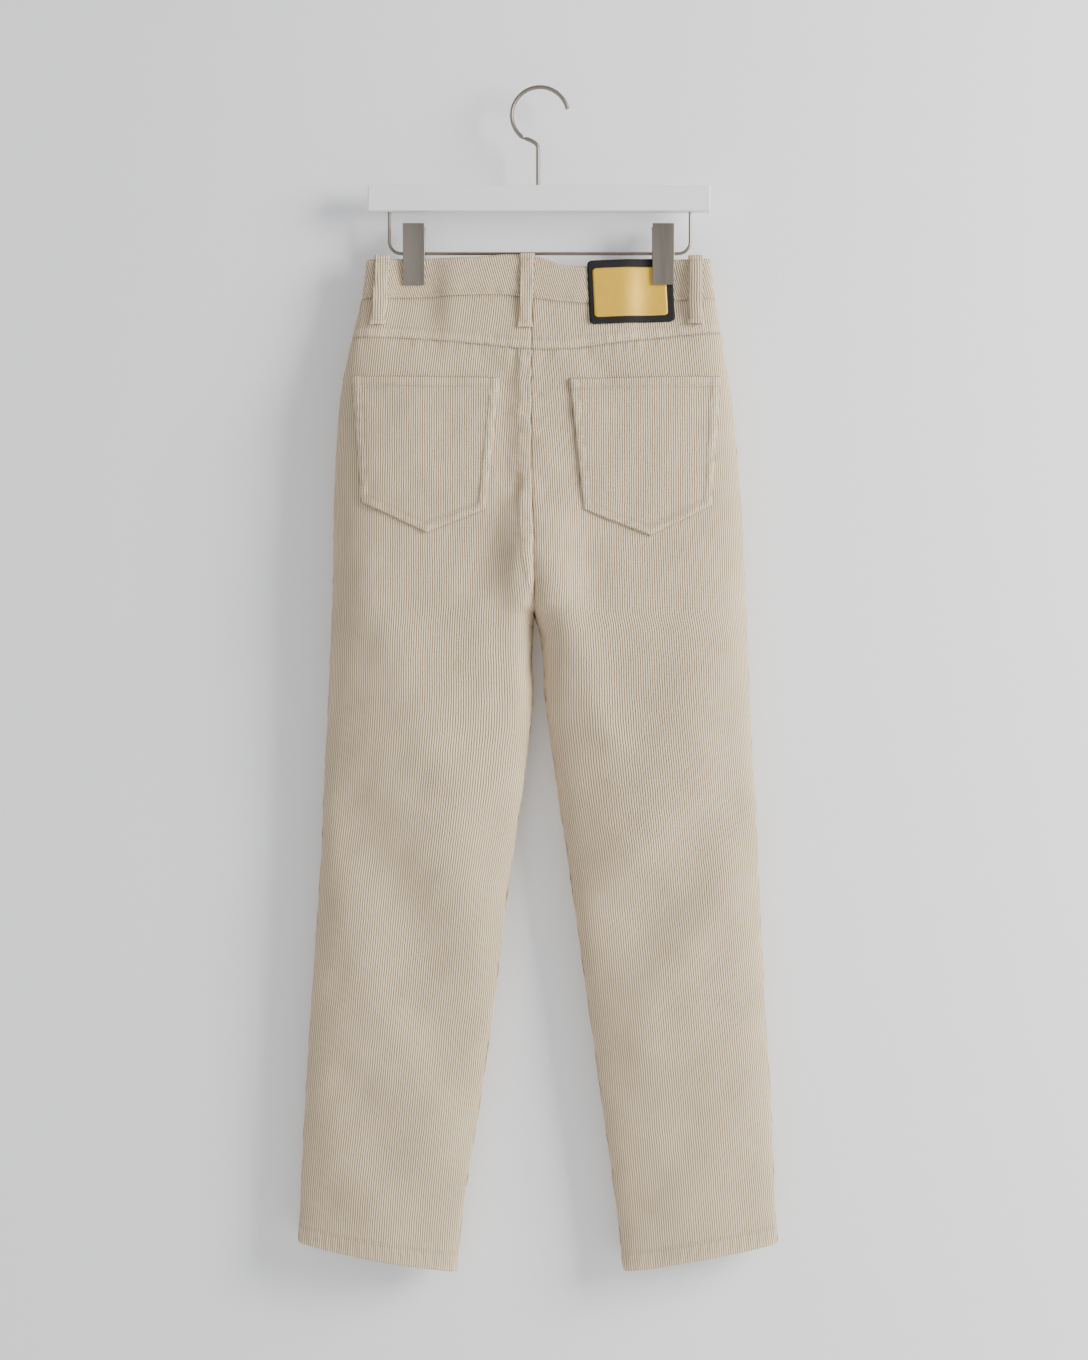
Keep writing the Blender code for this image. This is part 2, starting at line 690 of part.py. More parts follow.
def clip_spring(name, x):
    """The rolled spring between the plates: a sleeve round the hanger's wire."""
    mesh = bpy.data.meshes.new(name)
    bm = bmesh.new()
    bore = WIRE / 2 + GAP
    corners = ((bore, -0.5), (SPRING_RADIUS, -0.5), (SPRING_RADIUS, 0.5), (bore, 0.5))
    ring = [bm.verts.new((end * SPRING_LENGTH * MM, r * MM, 0.0)) for r, end in corners]
    edges = [bm.edges.new((ring[k], ring[(k + 1) % 4])) for k in range(4)]
    bmesh.ops.spin(
        bm,
        geom=ring + edges,
        cent=(0, 0, 0),
        axis=(1, 0, 0),
        angle=2 * pi,
        steps=16,
        use_merge=True,
    )
    bmesh.ops.remove_doubles(bm, verts=bm.verts, dist=0.00005)
    bmesh.ops.translate(bm, verts=bm.verts, vec=(x * MM, 0.0, WIRE_Z * MM))
    bmesh.ops.recalc_face_normals(bm, faces=bm.faces)
    bm.to_mesh(mesh)
    bm.free()
    return add_object(name, mesh, "satin_metal")


def clips():
    names = ("left", "right")
    for name, x, back_tip, front_tip in zip(
        names, CLIPS["x"], CLIPS["back_tip"], CLIPS["front_tip"]
    ):
        clip_plate(f"clip_back_{name}", x, back_tip, -1)
        clip_plate(f"clip_front_{name}", x, front_tip, 1)
        clip_spring(f"clip_spring_{name}", x)


clear_scene()
collection = bpy.data.collections.new("corduroy_trousers_on_hanger")
bpy.context.scene.collection.children.link(collection)
make_materials()
waistband()
yokes()
leg_panels()
pockets()
belt_loops()
fly()
patch()
hanger()
clips()
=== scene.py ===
# %% [markdown]
# # Corduroy trousers on a clip hanger
# The trousers hang flat from two clips, with their back towards the camera. The imported CAD model
# gives the frame: every piece below is a thin cloth shell on the form of its CAD solid.

# %% Load the frame
from math import cos, pi, radians, sin

import bmesh
import bpy
import numpy as np
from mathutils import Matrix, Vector


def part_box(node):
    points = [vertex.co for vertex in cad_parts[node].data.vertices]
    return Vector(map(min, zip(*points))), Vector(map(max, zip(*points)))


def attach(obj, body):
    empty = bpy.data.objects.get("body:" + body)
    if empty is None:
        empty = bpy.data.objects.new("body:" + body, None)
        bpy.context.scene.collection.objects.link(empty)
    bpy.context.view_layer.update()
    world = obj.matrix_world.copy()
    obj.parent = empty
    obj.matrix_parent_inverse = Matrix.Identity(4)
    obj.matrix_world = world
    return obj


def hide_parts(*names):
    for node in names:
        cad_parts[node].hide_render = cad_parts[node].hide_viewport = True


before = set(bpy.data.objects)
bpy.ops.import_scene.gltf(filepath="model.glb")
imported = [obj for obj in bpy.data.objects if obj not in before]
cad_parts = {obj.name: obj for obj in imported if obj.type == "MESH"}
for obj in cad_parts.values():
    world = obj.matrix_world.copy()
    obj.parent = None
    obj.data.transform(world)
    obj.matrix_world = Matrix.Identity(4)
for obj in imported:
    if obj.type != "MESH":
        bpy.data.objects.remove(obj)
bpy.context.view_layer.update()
MM = 0.001

# %% [markdown]
# ## The pattern
# A garment's form is simplest as one rule: for each level, where its edges are, how deep its back
# and front stand, and how square the section turns. The same rule carries every panel, so that
# pockets, loops and seams all lie on it. Sizes are in millimetres.

# %% Tables of levels, folds and seams


def table(names, *rows):
    """Named columns, one row for each level, fold or point."""
    return dict(zip(names.split(), np.array(rows, float).T))


LEVELS = table(
    "z left_outer left_inner right_inner right_outer back front side_turn inner_turn",
    (-165, -173, -8, -8, 170, 8, 8, 5.0, 3.0),
    (-213, -179, -8, -8, 176, 12, 10, 4.6, 3.0),
    (-261, -191, -9, -9, 184, 19, 13, 3.4, 3.0),
    (-316, -201, -9, -9, 193, 27, 15, 2.8, 3.0),
    (-366, -205, -9, -9, 198, 31, 16, 2.6, 3.2),
    (-416, -207, -8, -8, 202, 33, 17, 2.5, 3.6),
    (-466, -208, -7, -7, 205, 34, 17, 2.4, 4.0),
    (-516, -209, -6, -6, 207, 34, 17, 2.4, 4.0),
    (-529, -210, -6, -6, 208, 34, 17, 2.4, 4.0),
    (-545, -210, -8, 0, 208, 34, 17, 2.4, 3.6),
    (-566, -211, -9, 3, 209, 33, 17, 2.4, 3.2),
    (-616, -213, -8, 6, 211, 32, 17, 2.4, 2.8),
    (-676, -216, -14, 14, 214, 30, 17, 2.4, 2.5),
    (-716, -218, -19, 19, 217, 28, 17, 2.4, 2.4),
    (-766, -220, -27, 27, 219, 27, 16, 2.4, 2.4),
    (-816, -223, -34, 34, 221, 25, 16, 2.4, 2.4),
    (-916, -230, -46, 48, 226, 22, 15, 2.4, 2.4),
    (-1016, -236, -60, 62, 232, 20, 15, 2.4, 2.4),
    (-1116, -241, -76, 76, 236, 19, 14, 2.4, 2.4),
    (-1200, -243, -86, 86, 241, 18, 14, 2.4, 2.4),
)
# Soft drag folds from the outer edge of a leg down to its inner edge; a rise below 0 is a trough.
FOLDS = table(
    "face x0 z0 x1 z1 width rise",
    (-1, -6, -450, -6, -590, 40, 9.0),
    (-1, -196, -470, -50, -860, 42, 4.0),
    (-1, -196, -720, -92, -940, 38, -3.0),
    (-1, -200, -820, -95, -1050, 40, 3.5),
    (-1, -222, -1010, -165, -1165, 36, 2.5),
    (-1, 194, -560, 98, -760, 44, 4.0),
    (-1, 198, -730, 100, -840, 34, -3.0),
    (-1, 198, -775, 105, -960, 38, 3.5),
    (-1, 204, -960, 140, -1100, 36, 3.0),
    (1, -190, -560, -70, -760, 44, 2.5),
    (1, -200, -850, -90, -1020, 40, 2.0),
    (1, 185, -600, 80, -820, 44, 2.5),
    (1, 195, -900, 100, -1080, 40, 2.0),
)
# Smaller creases that only the cloth shows.
CREASES = table(
    "face x0 z0 x1 z1 width rise",
    (-1, -30, -405, -60, -500, 15, -1.6),
    (-1, 14, -400, 52, -492, 15, -1.8),
    (-1, 4, -360, 34, -455, 13, 1.6),
    (-1, -36, -300, -34, -392, 10, -1.5),
    (-1, -40, -470, -34, -610, 16, -2.4),
    (-1, 18, -500, 70, -660, 18, 1.8),
    (-1, -60, -268, -30, -300, 12, -1.2),
    (-1, 44, -262, 66, -292, 12, -1.2),
    (-1, -178, -560, -120, -700, 22, -1.5),
    (-1, -150, -900, -96, -990, 20, -1.2),
    (-1, 190, -850, 130, -930, 20, -1.3),
    (-1, 180, -1010, 120, -1090, 20, -1.2),
    (-1, -215, -930, -150, -1010, 20, 1.3),
    (1, -120, -330, -60, -420, 24, 1.5),
    (1, 110, -340, 50, -430, 24, 1.5),
    (1, -30, -400, -40, -500, 14, -1.4),
    (1, 24, -400, 36, -500, 14, -1.4),
    (1, -170, -700, -110, -800, 22, -1.4),
    (1, 170, -740, 110, -840, 22, -1.4),
)
CLIP_X = (-127.0, 124.0)
WAIST_TOP = table(
    "x z", (-174, -173), (-137, -172), (-60, -170), (-30, -168), (0, -171), (24, -179),
    (48, -180), (100, -174), (171, -172),
)
WAIST_SEAM = table(
    "x z", (-180, -212), (-130, -211), (-25, -210), (14, -215), (48, -218), (133, -214),
    (176, -211),
)
YOKE_SEAM = table(
    "x z", (-194, -252), (-140, -253), (-60, -260), (-9, -265), (30, -264), (100, -255),
    (180, -247),
)
BACK = -1
FRONT = 1
GAP = 0.06  # between two panels that meet at a seam
FOLD_DEPTH = 1.75  # makes the folds of the frame's plain solids deeper
CROTCH_Z = -529.0
HEM_Z = -1177.0
HEM_LEAN = 0.185  # the hem hangs lower at the inseam than at the side
HEM_HEIGHT = 18.0
WALE = 2.31  # from one rib of the corduroy to the next
CLOTH = 1.3  # thickness of a single layer
print("levels", len(LEVELS["z"]), "folds", len(FOLDS["x0"]), "creases", len(CREASES["x0"]))

# %% [markdown]
# ## The rule of the form
# A table is read with a smooth cubic, because straight steps between levels would show as bands.
# The section of each half is a squared ellipse: round at the side seam and at the inseam, and open
# at the centre seam above the crotch. Folds and creases are added as soft ridges, and the clips
# squeeze the waist flat.

# %% Read a table smoothly


def at(curve, column, by, place):
    """The value of one column at places along another, on a smooth cubic."""
    order = np.argsort(curve[by])
    x = curve[by][order]
    y = curve[column][order]
    slope = np.gradient(y, x)
    place = np.clip(place, x[0], x[-1])
    k = np.clip(np.searchsorted(x, place) - 1, 0, len(x) - 2)
    h = x[k + 1] - x[k]
    s = (place - x[k]) / h
    flat = 2 * s**3 - 3 * s**2
    return (
        y[k] * (flat + 1)
        - y[k + 1] * flat
        + h * slope[k] * (s**3 - 2 * s**2 + s)
        + h * slope[k + 1] * (s**3 - s**2)
    )


def edge(side, end, z):
    """Where the outer or inner edge of a half stands at a level."""
    x = at(LEVELS, f"{side}_{end}", "z", z)
    if end == "outer":
        return x
    return x - GAP / 2 if side == "left" else x + GAP / 2


print("waist", round(float(edge("right", "outer", -170) - edge("left", "outer", -170))), "mm")

# %% The section of one half, with its folds
SEAT_RISE = 112.0  # over this height above the crotch the two halves join into one round
FRONT_RISE = 70.0
PINCHED = 3.2  # half the thickness that a clip leaves of the waist
SLOPE_STEP = 3.0


def ridges(rows, face, x, z):
    """Soft ridges or troughs from one end to the other, in millimetres of depth."""
    rise = np.zeros(np.broadcast(x, z).shape)
    for i in np.nonzero(rows["face"] == face)[0]:
        x0, z0, x1, z1 = (rows[c][i] for c in ("x0", "z0", "x1", "z1"))
        length = np.hypot(x1 - x0, z1 - z0)
        ax, az = (x1 - x0) / length, (z1 - z0) / length
        run = (x - x0) * ax + (z - z0) * az
        off = (x - x0) * az - (z - z0) * ax
        beyond = np.maximum(np.maximum(-run, run - length), 0.0)
        width = rows["width"][i]
        rise += rows["rise"][i] * np.exp(-((off / width) ** 2) - (beyond / width) ** 2)
    return rise


def pinch(x, z):
    """How hard the clips squeeze the waist, from 0 to 1."""
    near = np.max([np.exp(-(((x - c) / 30.0) ** 4)) for c in CLIP_X], axis=0)
    return near * np.exp(-((np.maximum(-200.0 - z, 0.0) / 46.0) ** 2))


def skin_depth(face, t, x, z):
    """How far the cloth stands from the plane of the side seams."""
    deep = at(LEVELS, "back" if face == BACK else "front", "z", z)
    side_turn = at(LEVELS, "side_turn", "z", z)
    inner_turn = at(LEVELS, "inner_turn", "z", z)
    t = np.clip(t, -1.0, 1.0)
    up = np.clip((z - CROTCH_Z) / (SEAT_RISE if face == BACK else FRONT_RISE), 0.0, 1.0)
    start = deep * np.sqrt(1.0 - (1.0 - up) ** 2)
    outer = deep * (1.0 - np.maximum(t, 0.0) ** side_turn) ** (1.0 / side_turn)
    inner = start + (deep - start) * (1.0 - np.maximum(-t, 0.0) ** inner_turn) ** (1.0 / inner_turn)
    depth = np.where(t > 0.0, outer, inner)
    at_seam = np.clip((z - CROTCH_Z) / 8.0, 0.0, 1.0)
    fade = 1.0 - np.abs(t) ** 6 * np.where(t > 0.0, 1.0, 1.0 - 0.8 * at_seam)
    rise = FOLD_DEPTH * (ridges(FOLDS, face, x, z) + ridges(CREASES, face, x, z))
    depth = depth + rise * fade * depth / deep
    hold = pinch(x, z)
    return np.maximum(depth * (1.0 - hold) + np.minimum(depth, PINCHED) * hold, GAP / 2)


def skin_point(face, side, t, z):
    """Points of the outer face of a half. t is 1 at the side seam, -1 inside."""
    outer = edge(side, "outer", z)
    inner = edge(side, "inner", z)
    x = (outer + inner) / 2 + t * (outer - inner) / 2
    return np.stack(np.broadcast_arrays(x, face * skin_depth(face, t, x, z), z), -1)


def on_skin(face, x, z, lift):
    """Points over places of the outer face, moved out along its slope."""
    x, z = np.broadcast_arrays(np.asarray(x, float), np.asarray(z, float))

    def y_at(px, pz):
        found = []
        for side in ("left", "right"):
            outer = edge(side, "outer", pz)
            inner = edge(side, "inner", pz)
            found.append(skin_depth(face, (px - (outer + inner) / 2) / ((outer - inner) / 2), px, pz))
        return face * np.where(px < edge("left", "inner", pz) + GAP / 2, found[0], found[1])

    slope_x = (y_at(x + SLOPE_STEP, z) - y_at(x - SLOPE_STEP, z)) / (2 * SLOPE_STEP)
    slope_z = (y_at(x, z + SLOPE_STEP) - y_at(x, z - SLOPE_STEP)) / (2 * SLOPE_STEP)
    normal = np.stack((-slope_x, np.ones_like(x), -slope_z), -1)
    normal *= face / np.linalg.norm(normal, axis=-1, keepdims=True)
    return np.stack((x, y_at(x, z), z), -1) + normal * np.asarray(lift)[..., None]


def unevenness(u, v, scale, seed):
    """A smooth, repeatable wander between about -1 and 1."""
    rng = np.random.default_rng(seed)
    total = np.zeros(np.broadcast(u, v).shape)
    for _ in range(7):
        a = rng.uniform(0, 2 * pi)
        k = 2 * pi / (scale * rng.uniform(0.7, 1.6))
        total += np.sin(k * (u * cos(a) + v * sin(a)) + rng.uniform(0, 2 * pi))
    return total / 3.0


def bump_at(distance, width):
    """A smooth hump of height 1 where the distance is 0."""
    return np.exp(-((distance / width) ** 2))


seat_depth = skin_depth(BACK, np.array(0.0), np.array(-100.0), np.array(-420.0))
print("depth at the seat", round(float(seat_depth), 1))

# %% [markdown]
# ## Materials
# Corduroy is ribs of cut pile. Each rib catches the light on its crown and hides it in the groove
# beside it, so one wave across the grain drives both the bump and the painted shade of the groove's
# colour. The wave reads the piece's own UV map, laid out in millimetres along the cloth, so that the
# ribs follow each panel. A second attribute, wear_and_shade, pales the rubbed edges and paints shade
# into the dents of the seams and under the edges of what lies on the cloth.

# %% Node helpers
materials = {}


def shader_of(name):
    """A new material with its nodes, its links and its main shader."""
    mat = bpy.data.materials.new(name)
    mat.use_nodes = True
    materials[name] = mat
    return mat, mat.node_tree.nodes, mat.node_tree.links, mat.node_tree.nodes["Principled BSDF"]


def feed(links, socket, value):
    """Links a value that comes from a node, and sets one that is constant."""
    if isinstance(value, bpy.types.NodeSocket):
        links.new(value, socket)
    else:
        socket.default_value = value


def math_node(nodes, links, operation, *values):
    """One step of arithmetic on constants and on values from other nodes."""
    node = nodes.new("ShaderNodeMath")
    node.operation = operation
    for socket, value in zip(node.inputs, values):
        feed(links, socket, value)
    return node.outputs[0]


def mix_colour(nodes, links, factor, a, b, blend="MIX"):
    """Two colours mixed by a factor."""
    node = nodes.new("ShaderNodeMix")
    node.data_type = "RGBA"
    node.blend_type = blend
    for socket, value in zip((node.inputs[0], node.inputs[6], node.inputs[7]), (factor, a, b)):
        feed(links, socket, value)
    return node.outputs[2]


def noise(nodes, links, vector, scale, detail=3.0):
    """Soft, cloudy noise over the given coordinates."""
    node = nodes.new("ShaderNodeTexNoise")
    node.inputs["Scale"].default_value = scale
    node.inputs["Detail"].default_value = detail
    links.new(vector, node.inputs["Vector"])
    return node.outputs["Fac"]


print("node helpers ready")

# %% Corduroy
# The groove's darker colour is painted shade, where the rib hides the light.
CROWN = (0.86, 0.70, 0.48, 1)
GROOVE = (0.30, 0.215, 0.125, 1)
WANDER = 1.6  # how far a rib strays from its line


def make_corduroy():
    """Ribs along the grain map, with painted shade in the grooves, uneven pile, soft blotches, and the
    piece's wear and painted shade.
    """
    _mat, nodes, links, shader = shader_of("corduroy_cloth")
    uv = nodes.new("ShaderNodeUVMap")
    uv.uv_map = "grain"
    split = nodes.new("ShaderNodeSeparateXYZ")
    links.new(uv.outputs[0], split.inputs[0])
    stray = noise(nodes, links, uv.outputs[0], 0.05, 2.0)
    across = math_node(nodes, links, "MULTIPLY_ADD", stray, WANDER, split.outputs[0])
    turn = math_node(nodes, links, "MULTIPLY", across, 2 * pi / WALE)
    wave = math_node(nodes, links, "COSINE", turn)
    rib = math_node(nodes, links, "MULTIPLY_ADD", wave, 0.5, 0.5)
    crown_shape = math_node(nodes, links, "POWER", rib, 0.7)
    stretch = nodes.new("ShaderNodeMapping")
    stretch.inputs["Scale"].default_value = (1.0, 0.35, 1.0)
    links.new(uv.outputs[0], stretch.inputs["Vector"])
    pile = noise(nodes, links, stretch.outputs[0], 1.6, 4.0)
    coords = nodes.new("ShaderNodeTexCoord")
    blotch = noise(nodes, links, coords.outputs["Object"], 14.0, 3.0)
    base = mix_colour(nodes, links, crown_shape, GROOVE, CROWN)
    tone = math_node(nodes, links, "MULTIPLY_ADD", blotch, 0.22, 0.80)
    tone = math_node(nodes, links, "MULTIPLY_ADD", pile, 0.16, tone)
    # The wear_and_shade attribute: rubbed edges paler, and painted shade in dents and under edges.
    wear_and_shade = nodes.new("ShaderNodeAttribute")
    wear_and_shade.attribute_name = "wear_and_shade"
    tone = math_node(nodes, links, "ADD", tone, wear_and_shade.outputs["Fac"])
    shade = nodes.new("ShaderNodeCombineColor")
    for k in range(3):
        links.new(tone, shade.inputs[k])
    base = mix_colour(nodes, links, 1.0, base, shade.outputs[0], "MULTIPLY")
    links.new(base, shader.inputs["Base Color"])
    height = math_node(nodes, links, "MULTIPLY_ADD", pile, 0.35, crown_shape)
    bump = nodes.new("ShaderNodeBump")
    bump.inputs["Strength"].default_value = 1.0
    bump.inputs["Distance"].default_value = 0.0007
    links.new(height, bump.inputs["Height"])
    links.new(bump.outputs[0], shader.inputs["Normal"])
    shader.inputs["Roughness"].default_value = 0.92
    shader.inputs["Sheen Weight"].default_value = 0.08
    shader.inputs["Sheen Roughness"].default_value = 0.55
    shader.inputs["Specular IOR Level"].default_value = 0.15


make_corduroy()
print("corduroy wale", WALE, "mm")

# %% Thread, metal, paint, patch and plate


def make_plain(name, colour, roughness, metallic=0.0, grain=60.0, depth=0.0001, vary=0.12, squash=(1, 1, 1)):
    """A finish with a slight grain in its colour, roughness and relief."""
    _mat, nodes, links, shader = shader_of(name)
    coords = nodes.new("ShaderNodeTexCoord")
    mapping = nodes.new("ShaderNodeMapping")
    mapping.inputs["Scale"].default_value = squash
    links.new(coords.outputs["Object"], mapping.inputs["Vector"])
    fine = noise(nodes, links, mapping.outputs[0], grain, 5.0)
    dark = tuple(c * (1 - vary) for c in colour) + (1,)
    light = tuple(min(c * (1 + vary), 1.0) for c in colour) + (1,)
    links.new(mix_colour(nodes, links, fine, dark, light), shader.inputs["Base Color"])
    rough = math_node(nodes, links, "MULTIPLY_ADD", fine, 0.2, roughness - 0.1)
    links.new(rough, shader.inputs["Roughness"])
    bump = nodes.new("ShaderNodeBump")
    bump.inputs["Strength"].default_value = 0.4
    bump.inputs["Distance"].default_value = depth
    links.new(fine, bump.inputs["Height"])
    links.new(bump.outputs[0], shader.inputs["Normal"])
    shader.inputs["Metallic"].default_value = metallic


make_plain("thread", (0.62, 0.53, 0.42), 0.7, grain=900.0)
make_plain("satin_nickel", (0.25, 0.22, 0.185), 0.40, 1.0, grain=400.0, squash=(1, 1, 0.05), depth=0.00003)
make_plain("white_paint", (0.84, 0.84, 0.85), 0.42, grain=220.0, vary=0.02, depth=0.00004)
make_plain("black_hide", (0.004, 0.003, 0.003), 0.85, grain=700.0, vary=0.3)
make_plain("gold_foil", (0.68, 0.41, 0.03), 0.50, 0.20, grain=350.0, squash=(1, 1, 0.2), depth=0.00004)
print("materials", sorted(materials))

# %% [markdown]
# ## Cloth shells
# A panel starts as a flat grid, and its points are moved onto the rule of the form, evenly spaced
# along the cloth so that the ribs keep their pitch. Relief along the seams is added along each
# point's own normal: dents at the stitching, puckers beside it, and the doubled cloth of the hems.
# Solidify then gives the shell its thickness, inwards.

# %% Grid pieces


def normals_of(points, face):
    """The outward direction at each point of a grid."""
    down = np.gradient(points, axis=0)
    across = np.gradient(points, axis=1)
    normal = np.cross(down, across)
    normal /= np.maximum(np.linalg.norm(normal, axis=-1, keepdims=True), 1e-9)
    middle = normal[normal.shape[0] // 2, normal.shape[1] // 2, 1]
    return normal if middle * face > 0 else -normal


def lengths(points, axis):
    """Distances along the cloth from a grid's first row or column."""
    step = np.linalg.norm(np.diff(points, axis=axis), axis=-1)
    zero = np.zeros_like(np.take(step, [0], axis=axis))
    return np.cumsum(np.concatenate((zero, step), axis=axis), axis=axis)


def cloth(name, points, face, u, v, wear_and_shade, thickness=CLOTH, material="corduroy_cloth"):
    """A grid moved onto the points of a cloth piece, with its grain map and its wear and painted shade."""
    rows, columns = points.shape[:2]
    bm = bmesh.new()
    bmesh.ops.create_grid(bm, x_segments=columns - 1, y_segments=rows - 1, size=1.0)
    mesh = bpy.data.meshes.new(name)
    bm.to_mesh(mesh)
    bm.free()
    co = np.empty(len(mesh.vertices) * 3, np.float32)
    mesh.vertices.foreach_get("co", co)
    co = co.reshape(-1, 3)
    c = np.rint((co[:, 0] + 1) / 2 * (columns - 1)).astype(int)
    r = np.rint((1 - co[:, 1]) / 2 * (rows - 1)).astype(int)
    mesh.vertices.foreach_set("co", (points[r, c] * MM).astype(np.float32).ravel())
    corner = np.empty(len(mesh.loops), np.int32)
    mesh.loops.foreach_get("vertex_index", corner)
    u, v, wear_and_shade = (np.broadcast_to(value, points.shape[:2])[r, c] for value in (u, v, wear_and_shade))
    layer = mesh.uv_layers.new(name="grain")
    layer.uv.foreach_set("vector", np.stack((u, v), -1)[corner].astype(np.float32).ravel())
    # Per point: paler where rubbed, darker where shade is painted.
    wear_and_shade_layer = mesh.attributes.new("wear_and_shade", "FLOAT", "POINT")
    wear_and_shade_layer.data.foreach_set("value", wear_and_shade.astype(np.float32))
    mesh.update()
    mid = mesh.polygons[len(mesh.polygons) // 2 + (columns - 1) // 2]
    if mid.normal.y * face < 0:
        mesh.flip_normals()
    mesh.shade_smooth()
    ob = bpy.data.objects.new(name, mesh)
    bpy.context.scene.collection.objects.link(ob)
    mesh.materials.append(materials[material])
    solid = ob.modifiers.new("thickness", "SOLIDIFY")
    solid.thickness = thickness * MM
    solid.offset = -1.0
    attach(ob, "root")
    return ob


def even_columns(face, side, z_row, count):
    """Places across a section that are evenly spaced along the cloth, and their distances."""
    around = np.cos(np.linspace(0.0, pi, 161))
    t = np.sign(around) * np.abs(around) ** (2.0 / 2.6)
    line = skin_point(face, side, t, np.interp(t, (-1.0, 1.0), (z_row[-1], z_row[0])))
    run = np.concatenate(([0.0], np.cumsum(np.linalg.norm(np.diff(line, axis=0), axis=1))))
    even = np.linspace(0.0, run[-1], count)
    middle = np.interp(0.0, -t, run)
    return np.interp(even, run, t), even - middle


stitches = {}
STITCH_PITCH = 3.3


def stitch_line(group, points, normals, pitch=STITCH_PITCH):
    """Keeps a stitch for each pitch along a line, to be made at the end."""
    run = np.concatenate(([0.0], np.cumsum(np.linalg.norm(np.diff(points, axis=0), axis=1))))
    places = np.arange(pitch / 2, run[-1], pitch)
    at_points = np.stack([np.interp(places, run, points[:, k]) for k in range(3)], -1)
    ahead = np.stack([np.interp(places + 0.5, run, points[:, k]) for k in range(3)], -1)
    behind = np.stack([np.interp(places - 0.5, run, points[:, k]) for k in range(3)], -1)
    up = np.stack([np.interp(places, run, normals[:, k]) for k in range(3)], -1)
    stitches.setdefault(group, []).append((at_points, ahead - behind, up))


print("helpers ready")

# %% [markdown]
# ## Legs
# Each leg is a back and a front panel that meet at the side seam and at the inseam. A panel's rows
# are laid from its top seam to its hem, and each row is spaced evenly along the cloth. Its relief is
# worked out in three parts, one for each kind of sewing, and added before the shell is made.

# %% Lay the grid of a leg panel
GRID_WIDTH = 225.0  # about the width of a panel, from which its columns are counted
TOP_OF_BACK = -256.0
TOP_OF_FRONT = -212.0


def leg_grid(face, side, step_across, step_down):
    """Points of a panel from its top seam to its hem, and each point's place across the grain."""
    top_seam = YOKE_SEAM if face == BACK else WAIST_SEAM
    top_z = TOP_OF_BACK if face == BACK else TOP_OF_FRONT
    count = int(GRID_WIDTH / step_across)
    heights = np.arange(top_z, HEM_Z, -step_down)
    heights = np.concatenate((heights[heights > HEM_Z + 1.5], [HEM_Z + 0.7, HEM_Z]))
    out = 1.0 if side == "right" else -1.0
    rows, us = [], []
    for z in heights:
        z_row = np.full(count, float(z))
        near_top = np.clip(1.0 - (top_z - z) / 120.0, 0.0, 1.0)
        down = np.clip((CROTCH_Z - z) / (CROTCH_Z - HEM_Z), 0.0, 1.0)
        middle = (edge(side, "outer", z) + edge(side, "inner", z)) / 2
        for _ in range(2):
            t, u = even_columns(face, side, z_row, count)
            x = skin_point(face, side, t, z_row)[:, 0]
            z_row = z + HEM_LEAN * down * out * (x - middle)
            z_row = z_row + near_top * (at(top_seam, "z", "x", x) - GAP / 2 - top_z)
        rows.append(skin_point(face, side, t, z_row))
        us.append(u)
    return np.array(rows), np.array(us)


print("grid", leg_grid(FRONT, "left", 12.0, 60.0)[0].shape, "when laid coarsely")

# %% [markdown]
# ## Relief of the seams and the hem
# A seam pulls the cloth in at its stitching and stands it up over the pressed allowance beside it.
# The hem is turned twice, so its last stretch stands proud, dips at its stitching and ropes, because
# the feed of the machine drags the layers apart.

# %% Side seam and inseam


def leg_seams(u, v, z, from_side, from_inner, seed):
    """Lift of the cloth beside the side seam, and beside the inseam below the crotch."""
    lift = 0.25 * unevenness(u, v, 34.0, seed)
    lift += -0.7 * bump_at(from_side, 1.4) + 0.5 * bump_at(from_side - 6, 4.0)
    below = np.clip((CROTCH_Z - z) / 20.0, 0.0, 1.0)
    lift += (-0.7 * bump_at(from_inner, 1.4) + 0.4 * bump_at(from_inner - 6, 4.0)) * below
    lift += 0.35 * unevenness(u * 0.2, v, 13.0, seed + 1) * bump_at(from_inner - 4, 6.0)
    lift += 0.3 * unevenness(u * 0.2, v, 15.0, seed + 2) * bump_at(from_side - 4, 7.0)
    return lift


def hem(u, v, from_hem, seed):
    """Lift, wear and painted shade of the hem: proud, roped, rubbed pale at its edge, painted shade at its
    stitching.
    """
    band = 1.0 / (1.0 + np.exp((from_hem - HEM_HEIGHT - 1.0) * 1.6))
    rope = np.sin(2 * pi * (u * 0.115 + from_hem * 0.03) + 1.2 * unevenness(u, v, 40.0, seed))
    lift = band * (0.9 + 0.35 * rope * bump_at(from_hem - 9, 9.0))
    lift -= 0.6 * bump_at(from_hem - HEM_HEIGHT, 1.1) + 0.9 * bump_at(from_hem, 1.2)
    lift += 0.3 * np.abs(rope) * bump_at(from_hem - HEM_HEIGHT - 5, 5.0)
    # Pale where the hem's fold rubs; paler on the rope's ridges and, as painted shade, darker between them;
    # painted shade in the dent of the stitching.
    wear_and_shade = 0.10 * bump_at(from_hem - 2, 3.0) + 0.05 * band * rope
    wear_and_shade -= 0.16 * bump_at(from_hem - HEM_HEIGHT, 1.2)
    return lift, wear_and_shade


print("hem", HEM_HEIGHT, "mm high")

# %% [markdown]
# ## Relief of the seat
# The centre back seam is felled: its allowances are turned in and stitched down twice on the left
# panel, so it shows as a doubled, lumpy strip. The yoke seam above puckers the panel's top edge.

# %% Seat
FELL_WIDTH = 13.0
FELL_STITCHES = (3.0, 11.5)


